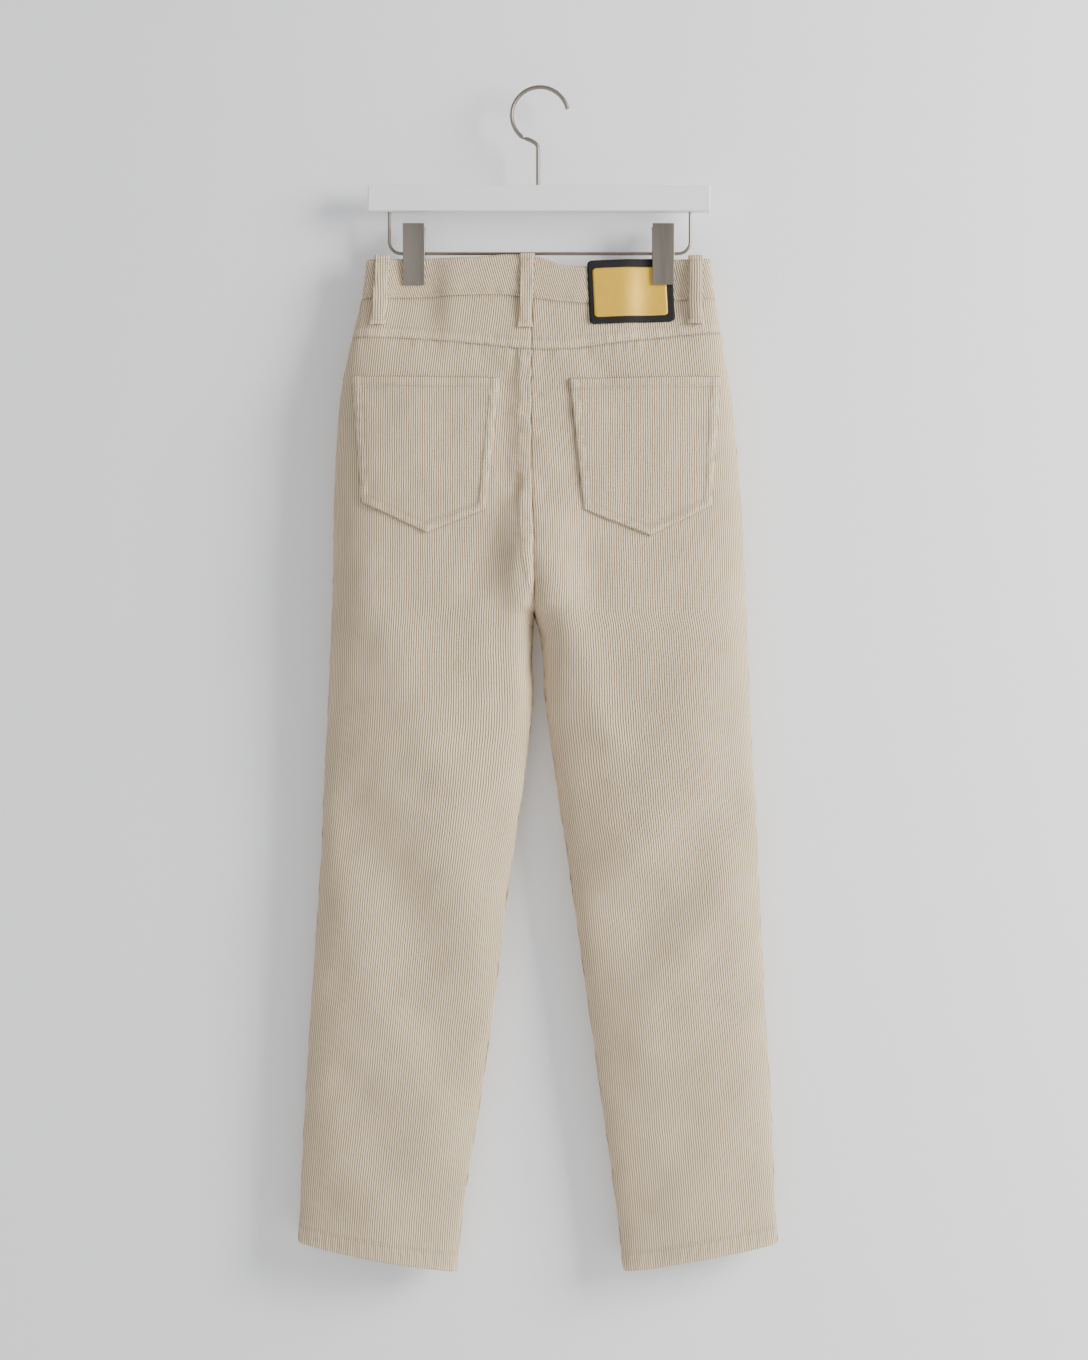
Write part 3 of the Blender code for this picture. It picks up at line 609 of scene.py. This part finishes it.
def seat(side, u, v, x, z, from_inner, from_top, seed):
    """Lift, wear and painted shade of a back panel beside the yoke seam and the centre back seam."""
    ripple = unevenness(x, z * 0.3, 9.0, seed + 4)
    lift = 0.5 * ripple * bump_at(from_top - 5, 6.0) - 0.3 * bump_at(from_top, 1.2)
    # Painted shade along the top edge, under the yoke's lapped edge.
    wear_and_shade = -0.18 * bump_at(from_top - 0.8, 1.3)
    above = np.clip((z - CROTCH_Z) / 14.0, 0.0, 1.0)
    lumps = unevenness(u * 0.5, v, 10.0, seed + 6)
    strength = 0.55 + 0.75 * bump_at(z + 340.0, 110.0)
    lift -= above * 0.2 * bump_at(from_inner, 1.0)
    if side == "left":
        near, far = FELL_STITCHES
        strip = 1.0 / (1.0 + np.exp((from_inner - FELL_WIDTH) * 1.4))
        lift += above * strip * (1.3 + 0.45 * lumps * strength)
        lift -= above * (0.5 * bump_at(from_inner - far, 1.0) + 0.5 * bump_at(from_inner - near, 0.9))
        lift += above * 0.5 * lumps * strength * bump_at(from_inner - FELL_WIDTH - 3, 8.0)
        # The felled strip is rubbed paler, more on its lumps; painted shade lies along the strip's edge.
        wear_and_shade += above * (0.05 * strip + 0.06 * lumps * strip)
        wear_and_shade -= above * 0.12 * bump_at(from_inner - FELL_WIDTH - 1.5, 1.6)
    else:
        lift += above * 0.5 * lumps * strength * bump_at(from_inner - 5, 8.0)
        # Painted shade in the seam's dent, and a paler rubbed pucker beside it.
        wear_and_shade -= above * 0.04 * bump_at(from_inner - 1.0, 1.4)
        wear_and_shade += above * 0.06 * bump_at(from_inner - 7.0, 4.0)
    return lift, wear_and_shade


print("felled strip", FELL_WIDTH, "mm wide")

# %% [markdown]
# ## Sew the legs
# The ribs run down the panel, and slant a little on the inner thigh, where the cut is on the bias.
# Each panel hangs from the waist.

# %% Leg panels
BIAS = 0.06


def column_along(points, normal, from_edge, inset, rows):
    """The line of points that runs down a panel at an inset from its inner edge."""
    columns = [int(np.argmin(np.abs(row - inset))) for row in from_edge]
    line = np.array([points[k, c] for k, c in enumerate(columns)])
    return line[rows], np.array([normal[k, c] for k, c in enumerate(columns)])[rows]


def leg_panel(face, side, step_across, step_down):
    """One leg panel with its relief, its grain and the lines of its stitching."""
    points, u = leg_grid(face, side, step_across, step_down)
    x, z = points[..., 0], points[..., 2]
    normal = normals_of(points, face)
    from_side = lengths(points, 1)
    from_inner = from_side[:, -1:] - from_side
    from_top = lengths(points, 0)
    from_hem = from_top[-1:, :] - from_top
    middle_column = points.shape[1] // 2
    v = np.broadcast_to(from_top[:, middle_column][:, None], u.shape)
    seed = 11 + 2 * (face == FRONT) + (side == "right")
    hem_lift, hem_wear_and_shade = hem(u, v, from_hem, seed + 3)
    lift = leg_seams(u, v, z, from_side, from_inner, seed) + hem_lift
    wear_and_shade = 0.03 * unevenness(u, v, 60.0, seed + 5) + hem_wear_and_shade
    if face == BACK:
        seat_lift, seat_wear_and_shade = seat(side, u, v, x, z, from_inner, from_top, seed)
        lift += seat_lift
        wear_and_shade += seat_wear_and_shade
    slant = np.clip((-330.0 - z) / 160.0, 0.0, 1.0) * np.clip((z + 800.0) / 160.0, 0.0, 1.0)
    u_grain = u + slant * bump_at(from_inner, 70.0) * (z + 460.0) * BIAS
    points = points + normal * lift[..., None]
    name = f"{'back' if face == BACK else 'front'}_panel_{side}"
    ob = cloth(name, points, face, u_grain + 400, v, wear_and_shade)
    row = int(np.argmin(np.abs(from_hem[:, middle_column] - HEM_HEIGHT)))
    stitch_line("hem_stitches", points[row], normal[row])
    if face == BACK and side == "left":
        for inset in FELL_STITCHES:
            line = column_along(points, normal, from_inner, inset, z[:, -1] > CROTCH_Z + 12)
            stitch_line("centre_stitches", *line)
    return ob


for side in ("left", "right"):
    back = leg_panel(BACK, side, 2.4, 3.0)
    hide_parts(f"back_leg_{side}")
    front = leg_panel(FRONT, side, 3.2, 4.2)
    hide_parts(f"front_leg_{side}")
    print(side, "leg", len(back.data.polygons), "and", len(front.data.polygons), "faces")

# %% [markdown]
# ## Yoke and waistband
# The yoke shapes the seat without darts. The waistband is one strip of doubled cloth, so it stands
# proud of the yoke, and its lower edge is a stitched ridge over a line of painted shade.

# %% Yoke
YOKE_STITCHES = (1.8, 9.5)


def yoke_grid(side, columns=78, rows=20):
    """Points of a yoke from the waist seam to the yoke seam, and their places across the grain."""
    grid, us = [], []
    for k in range(rows + 1):
        z_row = np.full(columns, -230.0)
        for _ in range(3):
            t, u = even_columns(BACK, side, z_row, columns)
            x = skin_point(BACK, side, t, z_row)[:, 0]
            high = at(WAIST_SEAM, "z", "x", x) - GAP / 2
            low = at(YOKE_SEAM, "z", "x", x) + GAP / 2
            z_row = high + (low - high) * k / rows
        grid.append(skin_point(BACK, side, t, z_row))
        us.append(u)
    return np.array(grid), np.array(us)


for side in ("left", "right"):
    points, u = yoke_grid(side)
    from_top = lengths(points, 0)
    from_low = from_top[-1:, :] - from_top
    from_inner = lengths(points, 1)[:, -1:] - lengths(points, 1)
    ripple = unevenness(points[..., 0], points[..., 2] * 0.3, 9.0, 31)
    lift = 0.3 * unevenness(u, from_top, 26.0, 33 + (side == "left"))
    lift += 0.5 / (1.0 + np.exp((from_low - YOKE_STITCHES[1] - 1.0) * 1.2))
    lift -= 0.5 * bump_at(from_low - YOKE_STITCHES[0], 0.9) + 0.4 * bump_at(from_low - YOKE_STITCHES[1], 0.9)
    lift += 0.45 * ripple * bump_at(from_low - 5, 6.0) - 0.3 * bump_at(from_low, 0.8)
    lift -= 0.4 * bump_at(from_top, 2.0)
    lift -= 0.2 * bump_at(from_inner, 1.0)
    # Paler on the raised band over the felled seam and on the ripple's ridges; painted shade in the stitch
    # line, in the ripple's hollows, along the lower edge and under the waistband at the top.
    wear_and_shade = 0.10 * bump_at(from_low - 5, 4.0) - 0.12 * bump_at(from_low - 11.0, 1.2)
    wear_and_shade += 0.06 * ripple * bump_at(from_low - 5, 6.0)
    wear_and_shade -= 0.12 * bump_at(from_low, 0.8) + 0.24 * bump_at(from_top, 2.6)
    normal = normals_of(points, BACK)
    points = points + normal * lift[..., None]
    yoke = cloth(f"yoke_panel_{side}", points, BACK, u + 400, from_top, wear_and_shade)
    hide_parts(f"yoke_{side}")
    for inset in YOKE_STITCHES:
        row = int(np.argmin(np.abs(from_low[:, points.shape[1] // 2] - inset)))
        stitch_line("yoke_stitches", points[row], normal[row])
    print("yoke", side, len(yoke.data.polygons))

# %% Waistband
WAIST_STITCH = 2.6
UNDER_FLAP = 2.9  # how far the strip's start goes in under its end, where the button closes it


def waist_run(part, count):
    """The outer line round the waist at a height: 0 is its top edge and 1 its seam."""
    line = []
    quarters = ((FRONT, "right", -1), (BACK, "right", 1), (BACK, "left", -1), (FRONT, "left", 1))
    for face, side, way in quarters:
        z_row = np.full(count, -190.0)
        for _ in range(3):
            t, _u = even_columns(face, side, z_row, count)
            x = skin_point(face, side, t, z_row)[:, 0]
            top = at(WAIST_TOP, "z", "x", x)
            z_row = top + (at(WAIST_SEAM, "z", "x", x) + GAP / 2 - top) * part
        run = skin_point(face, side, t, z_row)
        run = run[::-1] if way < 0 else run
        line.extend(run if not line else run[1:])
    return np.array(line)


rows = 16
points = np.array([waist_run(k / rows, 72) for k in range(rows + 1)])
ends = np.clip(1.0 - np.arange(points.shape[1]) / 8.0, 0.0, 1.0)
points[..., 1] -= (UNDER_FLAP * np.minimum(ends * 3, 1.0))[None, :]
across = np.gradient(points, axis=1)
normal = np.stack((across[..., 1], -across[..., 0], np.zeros(points.shape[:2])), -1)
normal /= np.linalg.norm(normal, axis=-1, keepdims=True)
back_column = points.shape[1] // 2
normal *= -np.sign(normal[0, back_column, 1])
u = lengths(points, 1)
from_top = lengths(points, 0)
from_low = from_top[-1:, :] - from_top
ripple = unevenness(u, from_top * 0.4, 10.0, 41)
lift = 0.8 + 0.3 * unevenness(u, from_top, 30.0, 42) - 1.2 * bump_at(from_top, 1.3)
lift += 0.35 * ripple * bump_at(from_low - 5, 5.0) - 0.5 * bump_at(from_low - WAIST_STITCH, 0.9)
lift += 0.25 * ripple * bump_at(from_top - 3, 3.0) - 0.4 * bump_at(from_low, 0.9)
lift *= 1.0 - 0.9 * pinch(points[..., 0], points[..., 2])
# Rubbed pale along both edges and on the ripple's ridges; painted shade in the ripple's hollows and in the
# dent of the lower stitching.
wear_and_shade = 0.12 * bump_at(from_low - 1.0, 1.6) + 0.10 * bump_at(from_top - 1.0, 2.0)
wear_and_shade += 0.05 * ripple * bump_at(from_low - 6, 6.0) - 0.18 * bump_at(from_low - 3.4, 1.2)
points = points + normal * lift[..., None]
band = cloth("waist_band", points, BACK, u, from_top, wear_and_shade, thickness=2.2)
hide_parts("waistband")
row = rows - int(round(WAIST_STITCH / (from_top[-1, 0] / rows)))
stitch_line("waist_stitches", points[row], normal[row])
stitch_line("waist_stitches", points[1], normal[1])
print("waistband", len(band.data.polygons), "faces,", round(float(u[0, -1])), "mm round")

# %% [markdown]
# ## What lies on the panels
# Patch pockets, belt loops, the fly's flap and the patch label are made from the panel's own points,
# moved out. Their edges are rolled down onto the cloth, rubbed pale on top, with painted shade underneath.

# %% Back pockets
POCKETS = {
    "pocket_left": ((-188, -292), (-40, -294), (-54, -427), (-113, -450), (-178, -419)),
    "pocket_right": ((29, -295), (180, -292), (171, -423), (110, -453), (43, -427)),
}
POCKET_CELLS = 72
POCKET_HEM = 10.0
POCKET_STITCHES = (2.0, 8.4)


def pocket_grid(corners):
    """A flat grid over a pocket's five corners: two at the top, two at the sides and its point."""
    steps = np.linspace(0, 1, POCKET_CELLS + 1)
    across, down = np.meshgrid(steps, steps)
    top_left, top_right, low_right, tip, low_left = (np.array(corner, float) for corner in corners)
    top = top_left + (top_right - top_left) * across[..., None]
    low = low_left + (tip - low_left) * np.minimum(across * 2, 1.0)[..., None]
    low = low + (low_right - tip) * np.maximum(across * 2 - 1.0, 0.0)[..., None]
    return across, top + (low - top) * down[..., None]


def pocket_creases(corners):
    """A raised crease under the pocket's mouth and a trough above its lower edge."""
    left, right, _low_right, tip, low_left = (corner[0] for corner in corners)
    return table(
        "face x0 z0 x1 z1 width rise",
        (BACK, left + 18, -318, right - 24, -345, 7, 1.1),
        (BACK, low_left + 20, -405, tip + 10, -425, 8, -1.0),
    )


def round_the_pocket(inset, side_cell, low_cell):
    """Rows and columns of a line down one side, along the lower edge and up the other side."""
    across = max(int(round(inset / side_cell)), 1)
    up = max(int(round(inset / low_cell)), 1)
    path = [(r, across) for r in range(POCKET_CELLS - up)]
    path += [(POCKET_CELLS - up, c) for c in range(across, POCKET_CELLS - across + 1)]
    path += [(r, POCKET_CELLS - across) for r in range(POCKET_CELLS - up - 1, -1, -1)]
    return tuple(np.array(path).T)


for name, corners in POCKETS.items():
    across, place = pocket_grid(corners)
    x, z = place[..., 0], place[..., 1]
    flat = np.concatenate((place, np.zeros_like(place[..., :1])), -1)
    from_left = lengths(flat, 1)
    from_right = from_left[:, -1:] - from_left
    from_top = lengths(flat, 0)
    from_low = (from_top[-1:, :] - from_top) * 0.93
    sides = np.minimum(np.minimum(from_left, from_right), from_low)
    rim = np.minimum(sides, from_top)
    seed = 51 if name == "pocket_left" else 57
    ripple = unevenness(x * 0.5, z, 9.0, seed)
    lift = 2.3 + 0.5 * unevenness(x, z, 42.0, seed + 1) - 1.8 * bump_at(rim, 1.1)
    lift += 0.9 / (1.0 + np.exp((sides - 8.6) * 1.5)) + 0.7 / (1.0 + np.exp((from_top - 10.5) * 1.5))
    lift += 0.4 * ripple * bump_at(sides - 5, 4.0) - 0.45 * bump_at(sides - POCKET_STITCHES[0], 0.9)
    lift -= 0.45 * bump_at(sides - POCKET_STITCHES[1], 0.9) + 0.4 * bump_at(from_top - POCKET_HEM, 0.9)
    lift += 0.9 * bump_at(from_top - POCKET_HEM, 9.0) * np.sin(pi * across)
    lift -= 0.8 * ridges(pocket_creases(corners), BACK, x, z)
    # Rubbed pale just inside the edges and on the ripple's ridges; painted shade along the rolled edge, in
    # the ripple's hollows and in the dents of the stitching.
    wear_and_shade = 0.12 * bump_at(sides - 1.6, 2.4) + 0.09 * bump_at(from_top - 1.6, 2.5) - 0.30 * bump_at(rim, 0.9)
    wear_and_shade += 0.08 * ripple * bump_at(sides - 4, 4.0) - 0.20 * bump_at(sides - 9.4, 1.4)
    wear_and_shade -= 0.16 * bump_at(from_top - 10.8, 1.4)
    points = on_skin(BACK, x, z, lift)
    normal = normals_of(points, BACK)
    pocket = cloth(f"back_{name}", points, BACK, x + 300, -z, wear_and_shade, thickness=1.2)
    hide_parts(name)
    side_cell = from_left[0, -1] / POCKET_CELLS
    low_cell = from_top[-1, 0] / POCKET_CELLS
    for inset in POCKET_STITCHES:
        path = round_the_pocket(inset, side_cell, low_cell)
        stitch_line("pocket_stitches", points[path], normal[path])
    row = int(round(POCKET_HEM / low_cell))
    stitch_line("pocket_stitches", points[row], normal[row])
    print(name, len(pocket.data.polygons))

# %% Belt loops
# Each loop: its face, the x of its top and of its foot, and the z of its top and of its foot.
LOOPS = {
    "loop_back_left": (BACK, -158.5, -163.0, -169, -240),
    "loop_back_centre": (BACK, -12.5, -15.0, -167.5, -243),
    "loop_back_right": (BACK, 156.5, 156.5, -169, -239),
    "loop_front_left": (FRONT, -92.0, -94.0, -170, -241),
    "loop_front_right": (FRONT, 88.0, 90.0, -170, -241),
}
LOOP_HALF = 6.6
TACK = 0.085  # where its end is tacked down, as a share of its length
for name, (face, top_x, low_x, top_z, low_z) in LOOPS.items():
    down, across = np.meshgrid(np.linspace(0, 1, 60), np.linspace(-1, 1, 22), indexing="ij")
    flare = 1.0 + 0.12 * bump_at(down, 0.09) + 0.14 * bump_at(down - 1, 0.08)
    x = top_x + (low_x - top_x) * down + across * LOOP_HALF * flare
    z = top_z + (low_z - top_z) * down
    lift = 2.4 + 2.0 * np.clip(np.sin(pi * down), 0.0, 0.7) / 0.7
    lift += 0.9 * (bump_at(down - 0.03, 0.045) + bump_at(down - 0.965, 0.045))
    lift -= 0.8 * (bump_at(down - TACK, 0.018) + bump_at(down - 1 + TACK, 0.018))
    lift -= 0.9 * np.abs(across) ** 8 + 0.35 * bump_at(np.abs(across) - 0.62, 0.10)
    # Rubbed pale towards the sides and at the ends; painted shade along the very rim and in the dents of the
    # tacks.
    wear_and_shade = 0.14 * np.abs(across) ** 4 - 0.34 * np.abs(across) ** 30
    wear_and_shade += 0.10 * (bump_at(down, 0.05) + bump_at(down - 1, 0.05))
    wear_and_shade -= 0.16 * (bump_at(down - TACK, 0.015) + bump_at(down - 1 + TACK, 0.015))
    points = on_skin(face, x, z, lift)
    loop = cloth(f"belt_{name}", points, face, x + 300, -z, wear_and_shade, thickness=1.5)
    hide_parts(name)
    normal = normals_of(points, face)
    for column in (4, 17):
        stitch_line("loop_stitches", points[:, column], normal[:, column], 2.8)
    for row in (5, 54):
        stitch_line("loop_stitches", points[row, 3:19], normal[row, 3:19], 1.1)
print("belt loops", len(LOOPS))

# %% Fly flap
FLY_WIDTH = 38.0
FLY_LENGTH = 150.0
FLY_ROUND = 0.25  # the share of its length over which its foot is rounded
down, across = np.meshgrid(np.linspace(0, 1, 70), np.linspace(0, 1, 24), indexing="ij")
past = np.maximum(down - 1.0 + FLY_ROUND, 0.0) / FLY_ROUND
foot = np.sqrt(np.clip(1.0 - 0.9 * past**2, 0.0, 1.0))
x = -6.0 - FLY_WIDTH * foot * (1.0 - across)
z = at(WAIST_SEAM, "z", "x", x) - 0.6 - FLY_LENGTH * down
lift = 1.9 - 0.9 * bump_at(across - 1, 0.04) - 0.8 * bump_at(across, 0.03) - 0.8 * bump_at(down - 1, 0.02)
lift += 0.25 * unevenness(x, z, 24.0, 71)
points = on_skin(FRONT, x, z, lift)
normal = normals_of(points, FRONT)
fly = cloth("fly", points, FRONT, x + 300, -z, 0.08 * bump_at(across - 1, 0.05), thickness=1.1)
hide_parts("fly_flap")
for column in (2, 5):
    stitch_line("fly_stitches", points[:, column], normal[:, column])
print("fly", len(fly.data.polygons))

# %% Patch label and plate
PATCH_TURN = radians(-2.5)
# Each piece: its names and finish, then its corner's place, width, height, lift, thickness and round.
PATCHES = (
    ("patch", "patch_label", "black_hide", "patch", (47.0, -175.0), (86.0, 65.0), 2.0, 1.2, 4.0),
    ("plate", "label_plate", "gold_foil", "gold_plate", (52.5, -183.0), (74.0, 50.0), 2.75, 0.5, 3.0),
)
for name, node, finish, slot, (x0, z0), (width, height), lift, thick, corner in PATCHES:
    down, across = np.meshgrid(np.linspace(0, height, 34), np.linspace(0, width, 44), indexing="ij")
    # Round corners: rows near the ends are drawn in by the corner's arc.
    end = np.minimum(down, height - down)
    inset = corner - np.sqrt(np.clip(corner**2 - np.maximum(corner - end, 0.0) ** 2, 0.0, None))
    across = inset + across * (width - 2 * inset) / width
    x = x0 + across * cos(PATCH_TURN) - down * sin(PATCH_TURN)
    z = z0 - across * sin(PATCH_TURN) - down * cos(PATCH_TURN)
    rim = np.minimum(np.minimum(across - inset, width - inset - across), end)
    points = on_skin(BACK, x, z, lift - 0.25 * bump_at(rim, 0.8))
    piece = cloth(name, points, BACK, x, -z, 0.0, thick, finish)
    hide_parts(node)
print("patch and plate")

# %% [markdown]
# ## Stitching
# One stitch is a small rounded bar, made once and laid along every line that the panels kept.

# %% Lay the stitches
STITCH = (2.4, 0.6, 0.45)  # length, width and height


def stitch_shape():
    """One stitch with bevelled edges, as its points and its triangles."""
    bm = bmesh.new()
    bmesh.ops.create_cube(bm, size=1.0)
    bmesh.ops.scale(bm, vec=STITCH, verts=bm.verts)
    bmesh.ops.bevel(
        bm, geom=list(bm.edges), offset=0.16, segments=1, profile=0.5, affect="EDGES", material=-1
    )
    bmesh.ops.triangulate(bm, faces=bm.faces)
    verts = np.array([v.co for v in bm.verts])
    faces = np.array([[v.index for v in f.verts] for f in bm.faces])
    bm.free()
    return verts, faces


shape, shape_faces = stitch_shape()
for group, lines in stitches.items():
    at_points = np.concatenate([line[0] for line in lines])
    along = np.concatenate([line[1] for line in lines])
    up = np.concatenate([line[2] for line in lines])
    along /= np.linalg.norm(along, axis=1, keepdims=True)
    aside = np.cross(up, along)
    aside /= np.linalg.norm(aside, axis=1, keepdims=True)
    up = np.cross(along, aside)
    verts = (
        at_points[:, None]
        + shape[None, :, :1] * along[:, None]
        + shape[None, :, 1:2] * aside[:, None]
        + (shape[None, :, 2:] + 0.1) * up[:, None]
    ).reshape(-1, 3) * MM
    faces = (shape_faces[None] + np.arange(len(at_points))[:, None, None] * len(shape)).reshape(-1, 3)
    mesh = bpy.data.meshes.new(group)
    mesh.from_pydata(verts.tolist(), [], faces.tolist())
    mesh.shade_smooth()
    mesh.materials.append(materials["thread"])
    ob = bpy.data.objects.new(group, mesh)
    bpy.context.scene.collection.objects.link(ob)
    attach(ob, "root")
    print(group, len(at_points), "stitches")

# %% [markdown]
# ## The hanger
# The hanger's CAD shapes are right as they are, so they stay and only get their finishes.

# %% Finish the hard pieces
HARD = {
    "hanger_bar": "white_paint", "hanger_hook": "satin_nickel", "hanger_wire": "satin_nickel",
    "clip_spring_left": "satin_nickel", "clip_spring_right": "satin_nickel",
    "waist_button": "satin_nickel",
}
for node, finish in HARD.items():
    for slot in bpy.data.objects[node].material_slots:
        slot.material = materials[finish]
print("finished", len(HARD), "hard pieces")

# %% [markdown]
# ## Clip plates
# A clip's plate is a strip of sheet metal with softly rounded edges and its two sides folded in
# round the spring. A bevelled bar, leaned from its top to its tip, gives the crisp highlights that
# the coarse frame solid lacks.

# %% Model the clip plates
SHEET_METAL = 0.0013
FOLD_IN = 0.0036
FOLD_TOP = 0.006  # from the plate's top down to its folded sides
FOLD_FOOT = 0.034
TIP_ON_WAIST = 0.0054  # how far from the hanger's middle plane a plate's tip stands
TIP_ON_PATCH = 0.0083


def clip_plate(node, face):
    """A plate with its two sides folded in, leaned from its top to its tip."""
    low, high = (Vector(corner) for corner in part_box(node))
    top_y = high.y if face == FRONT else -low.y
    tip_y = TIP_ON_PATCH if node == "clip_back_right" else TIP_ON_WAIST
    flange = (SHEET_METAL, high.z - FOLD_FOOT, high.z - FOLD_TOP, FOLD_IN, SHEET_METAL * 0.9)
    parts = (
        ((low.x + high.x) / 2, high.x - low.x, low.z, high.z, 0.0, 0.0),
        (low.x + SHEET_METAL / 2, *flange),
        (high.x - SHEET_METAL / 2, *flange),
    )
    bm = bmesh.new()
    for x, width, z0, z1, fold, sunk in parts:
        deep = SHEET_METAL + fold
        made = bmesh.ops.create_cube(bm, size=1.0)["verts"]
        bmesh.ops.scale(bm, verts=made, vec=(width, deep, z1 - z0))
        bmesh.ops.translate(bm, verts=made, vec=(x, -deep / 2 - sunk, (z0 + z1) / 2))
    bmesh.ops.bevel(
        bm, geom=list(bm.edges), offset=0.0005, segments=3, profile=0.5, affect="EDGES", material=-1
    )
    for v in bm.verts:
        down = (high.z - v.co.z) / (high.z - low.z)
        v.co.y = face * (top_y + (tip_y - top_y) * down + v.co.y)
    bmesh.ops.recalc_face_normals(bm, faces=bm.faces)
    mesh = bpy.data.meshes.new(node + "_plate")
    bm.to_mesh(mesh)
    bm.free()
    mesh.shade_smooth()
    mesh.set_sharp_from_angle(angle=radians(35))
    mesh.materials.append(materials["satin_nickel"])
    ob = bpy.data.objects.new(node + "_plate", mesh)
    bpy.context.scene.collection.objects.link(ob)
    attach(ob, "root")
    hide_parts(node)


for side in ("left", "right"):
    clip_plate(f"clip_back_{side}", BACK)
    clip_plate(f"clip_front_{side}", FRONT)
print("clip plates")

# %% [markdown]
# ## Wall, floor, light and camera
# The trousers hang a little in front of a pale wall. A soft key light stands to the right, and the
# wall lets light and sight through from behind, so that the front can be looked at too.

# %% Wall and floor


def stage_plane(name, size, place, turn, colour, see_through):
    """A painted plane. One that is see-through hides nothing from behind and casts no shadow."""
    bm = bmesh.new()
    bmesh.ops.create_grid(bm, x_segments=1, y_segments=1, size=size)
    mesh = bpy.data.meshes.new(name)
    bm.to_mesh(mesh)
    bm.free()
    ob = bpy.data.objects.new(name, mesh)
    ob.rotation_euler = turn
    ob.location = place
    bpy.context.scene.collection.objects.link(ob)
    mat, nodes, links, shader = shader_of(name + "_paint")
    coords = nodes.new("ShaderNodeTexCoord")
    fine = noise(nodes, links, coords.outputs["Object"], 160.0, 4.0)
    shader.inputs["Base Color"].default_value = colour
    shader.inputs["Roughness"].default_value = 0.9
    bump = nodes.new("ShaderNodeBump")
    bump.inputs["Strength"].default_value = 0.25
    bump.inputs["Distance"].default_value = 0.0006
    links.new(fine, bump.inputs["Height"])
    links.new(bump.outputs[0], shader.inputs["Normal"])
    if see_through:
        clear = nodes.new("ShaderNodeBsdfTransparent")
        blend = nodes.new("ShaderNodeMixShader")
        back = nodes.new("ShaderNodeNewGeometry")
        path = nodes.new("ShaderNodeLightPath")
        either = math_node(
            nodes, links, "MAXIMUM", back.outputs["Backfacing"], path.outputs["Is Shadow Ray"]
        )
        links.new(either, blend.inputs[0])
        links.new(shader.outputs[0], blend.inputs[1])
        links.new(clear.outputs[0], blend.inputs[2])
        links.new(blend.outputs[0], nodes["Material Output"].inputs["Surface"])
    mesh.materials.append(mat)


stage_plane("wall", 4.0, (0, 0.026, -0.6), (radians(90), 0, 0), (0.90, 0.905, 0.915, 1), True)
stage_plane("floor", 4.0, (0, -1.0, -1.6), (0, 0, 0), (0.72, 0.72, 0.73, 1), False)
print("wall and floor")

# %% Lights
MIDDLE = (0, 0, -0.6)
LIGHTS = (
    ("key", (2.6, -1.25, 0.25), (1.2, 1.6), 165.0, (1.0, 0.99, 0.97)),
    ("fill", (-1.2, -2.8, -0.2), (2.4, 2.4), 16.0, (1, 1, 1)),
    ("back_fill", (-0.8, 2.6, 0.2), (2.0, 2.0), 26.0, (1, 1, 1)),
)


def soft_light(name, place, size, power, colour):
    """An area light that looks at the middle of the garment."""
    light = bpy.data.lights.new(name, "AREA")
    light.shape = "RECTANGLE"
    light.size, light.size_y = size
    light.energy = power
    light.color = colour
    ob = bpy.data.objects.new(name, light)
    ob.location = place
    ob.rotation_euler = (Vector(MIDDLE) - Vector(place)).to_track_quat("-Z", "Y").to_euler()
    bpy.context.scene.collection.objects.link(ob)


for row in LIGHTS:
    soft_light(*row)
world = bpy.data.worlds.new("studio")
world.use_nodes = True
background = world.node_tree.nodes["Background"]
background.inputs["Color"].default_value = (0.93, 0.95, 1.0, 1)
background.inputs["Strength"].default_value = 0.50
bpy.context.scene.world = world
print("lights", len(LIGHTS))

# %% Camera
DISTANCE = 2.3
VIEW_HEIGHT = 1.36
SENSOR = 36.0
camera = bpy.data.cameras.new("camera")
camera.sensor_fit = "VERTICAL"
camera.sensor_height = SENSOR
camera.lens = SENSOR * DISTANCE / VIEW_HEIGHT
view = bpy.data.objects.new("camera", camera)
view.location = (0.004, -DISTANCE - 0.02, -0.596)
view.rotation_euler = (radians(90), 0, 0)
bpy.context.scene.collection.objects.link(view)
bpy.context.scene.camera = view
print("camera", tuple(view.location))
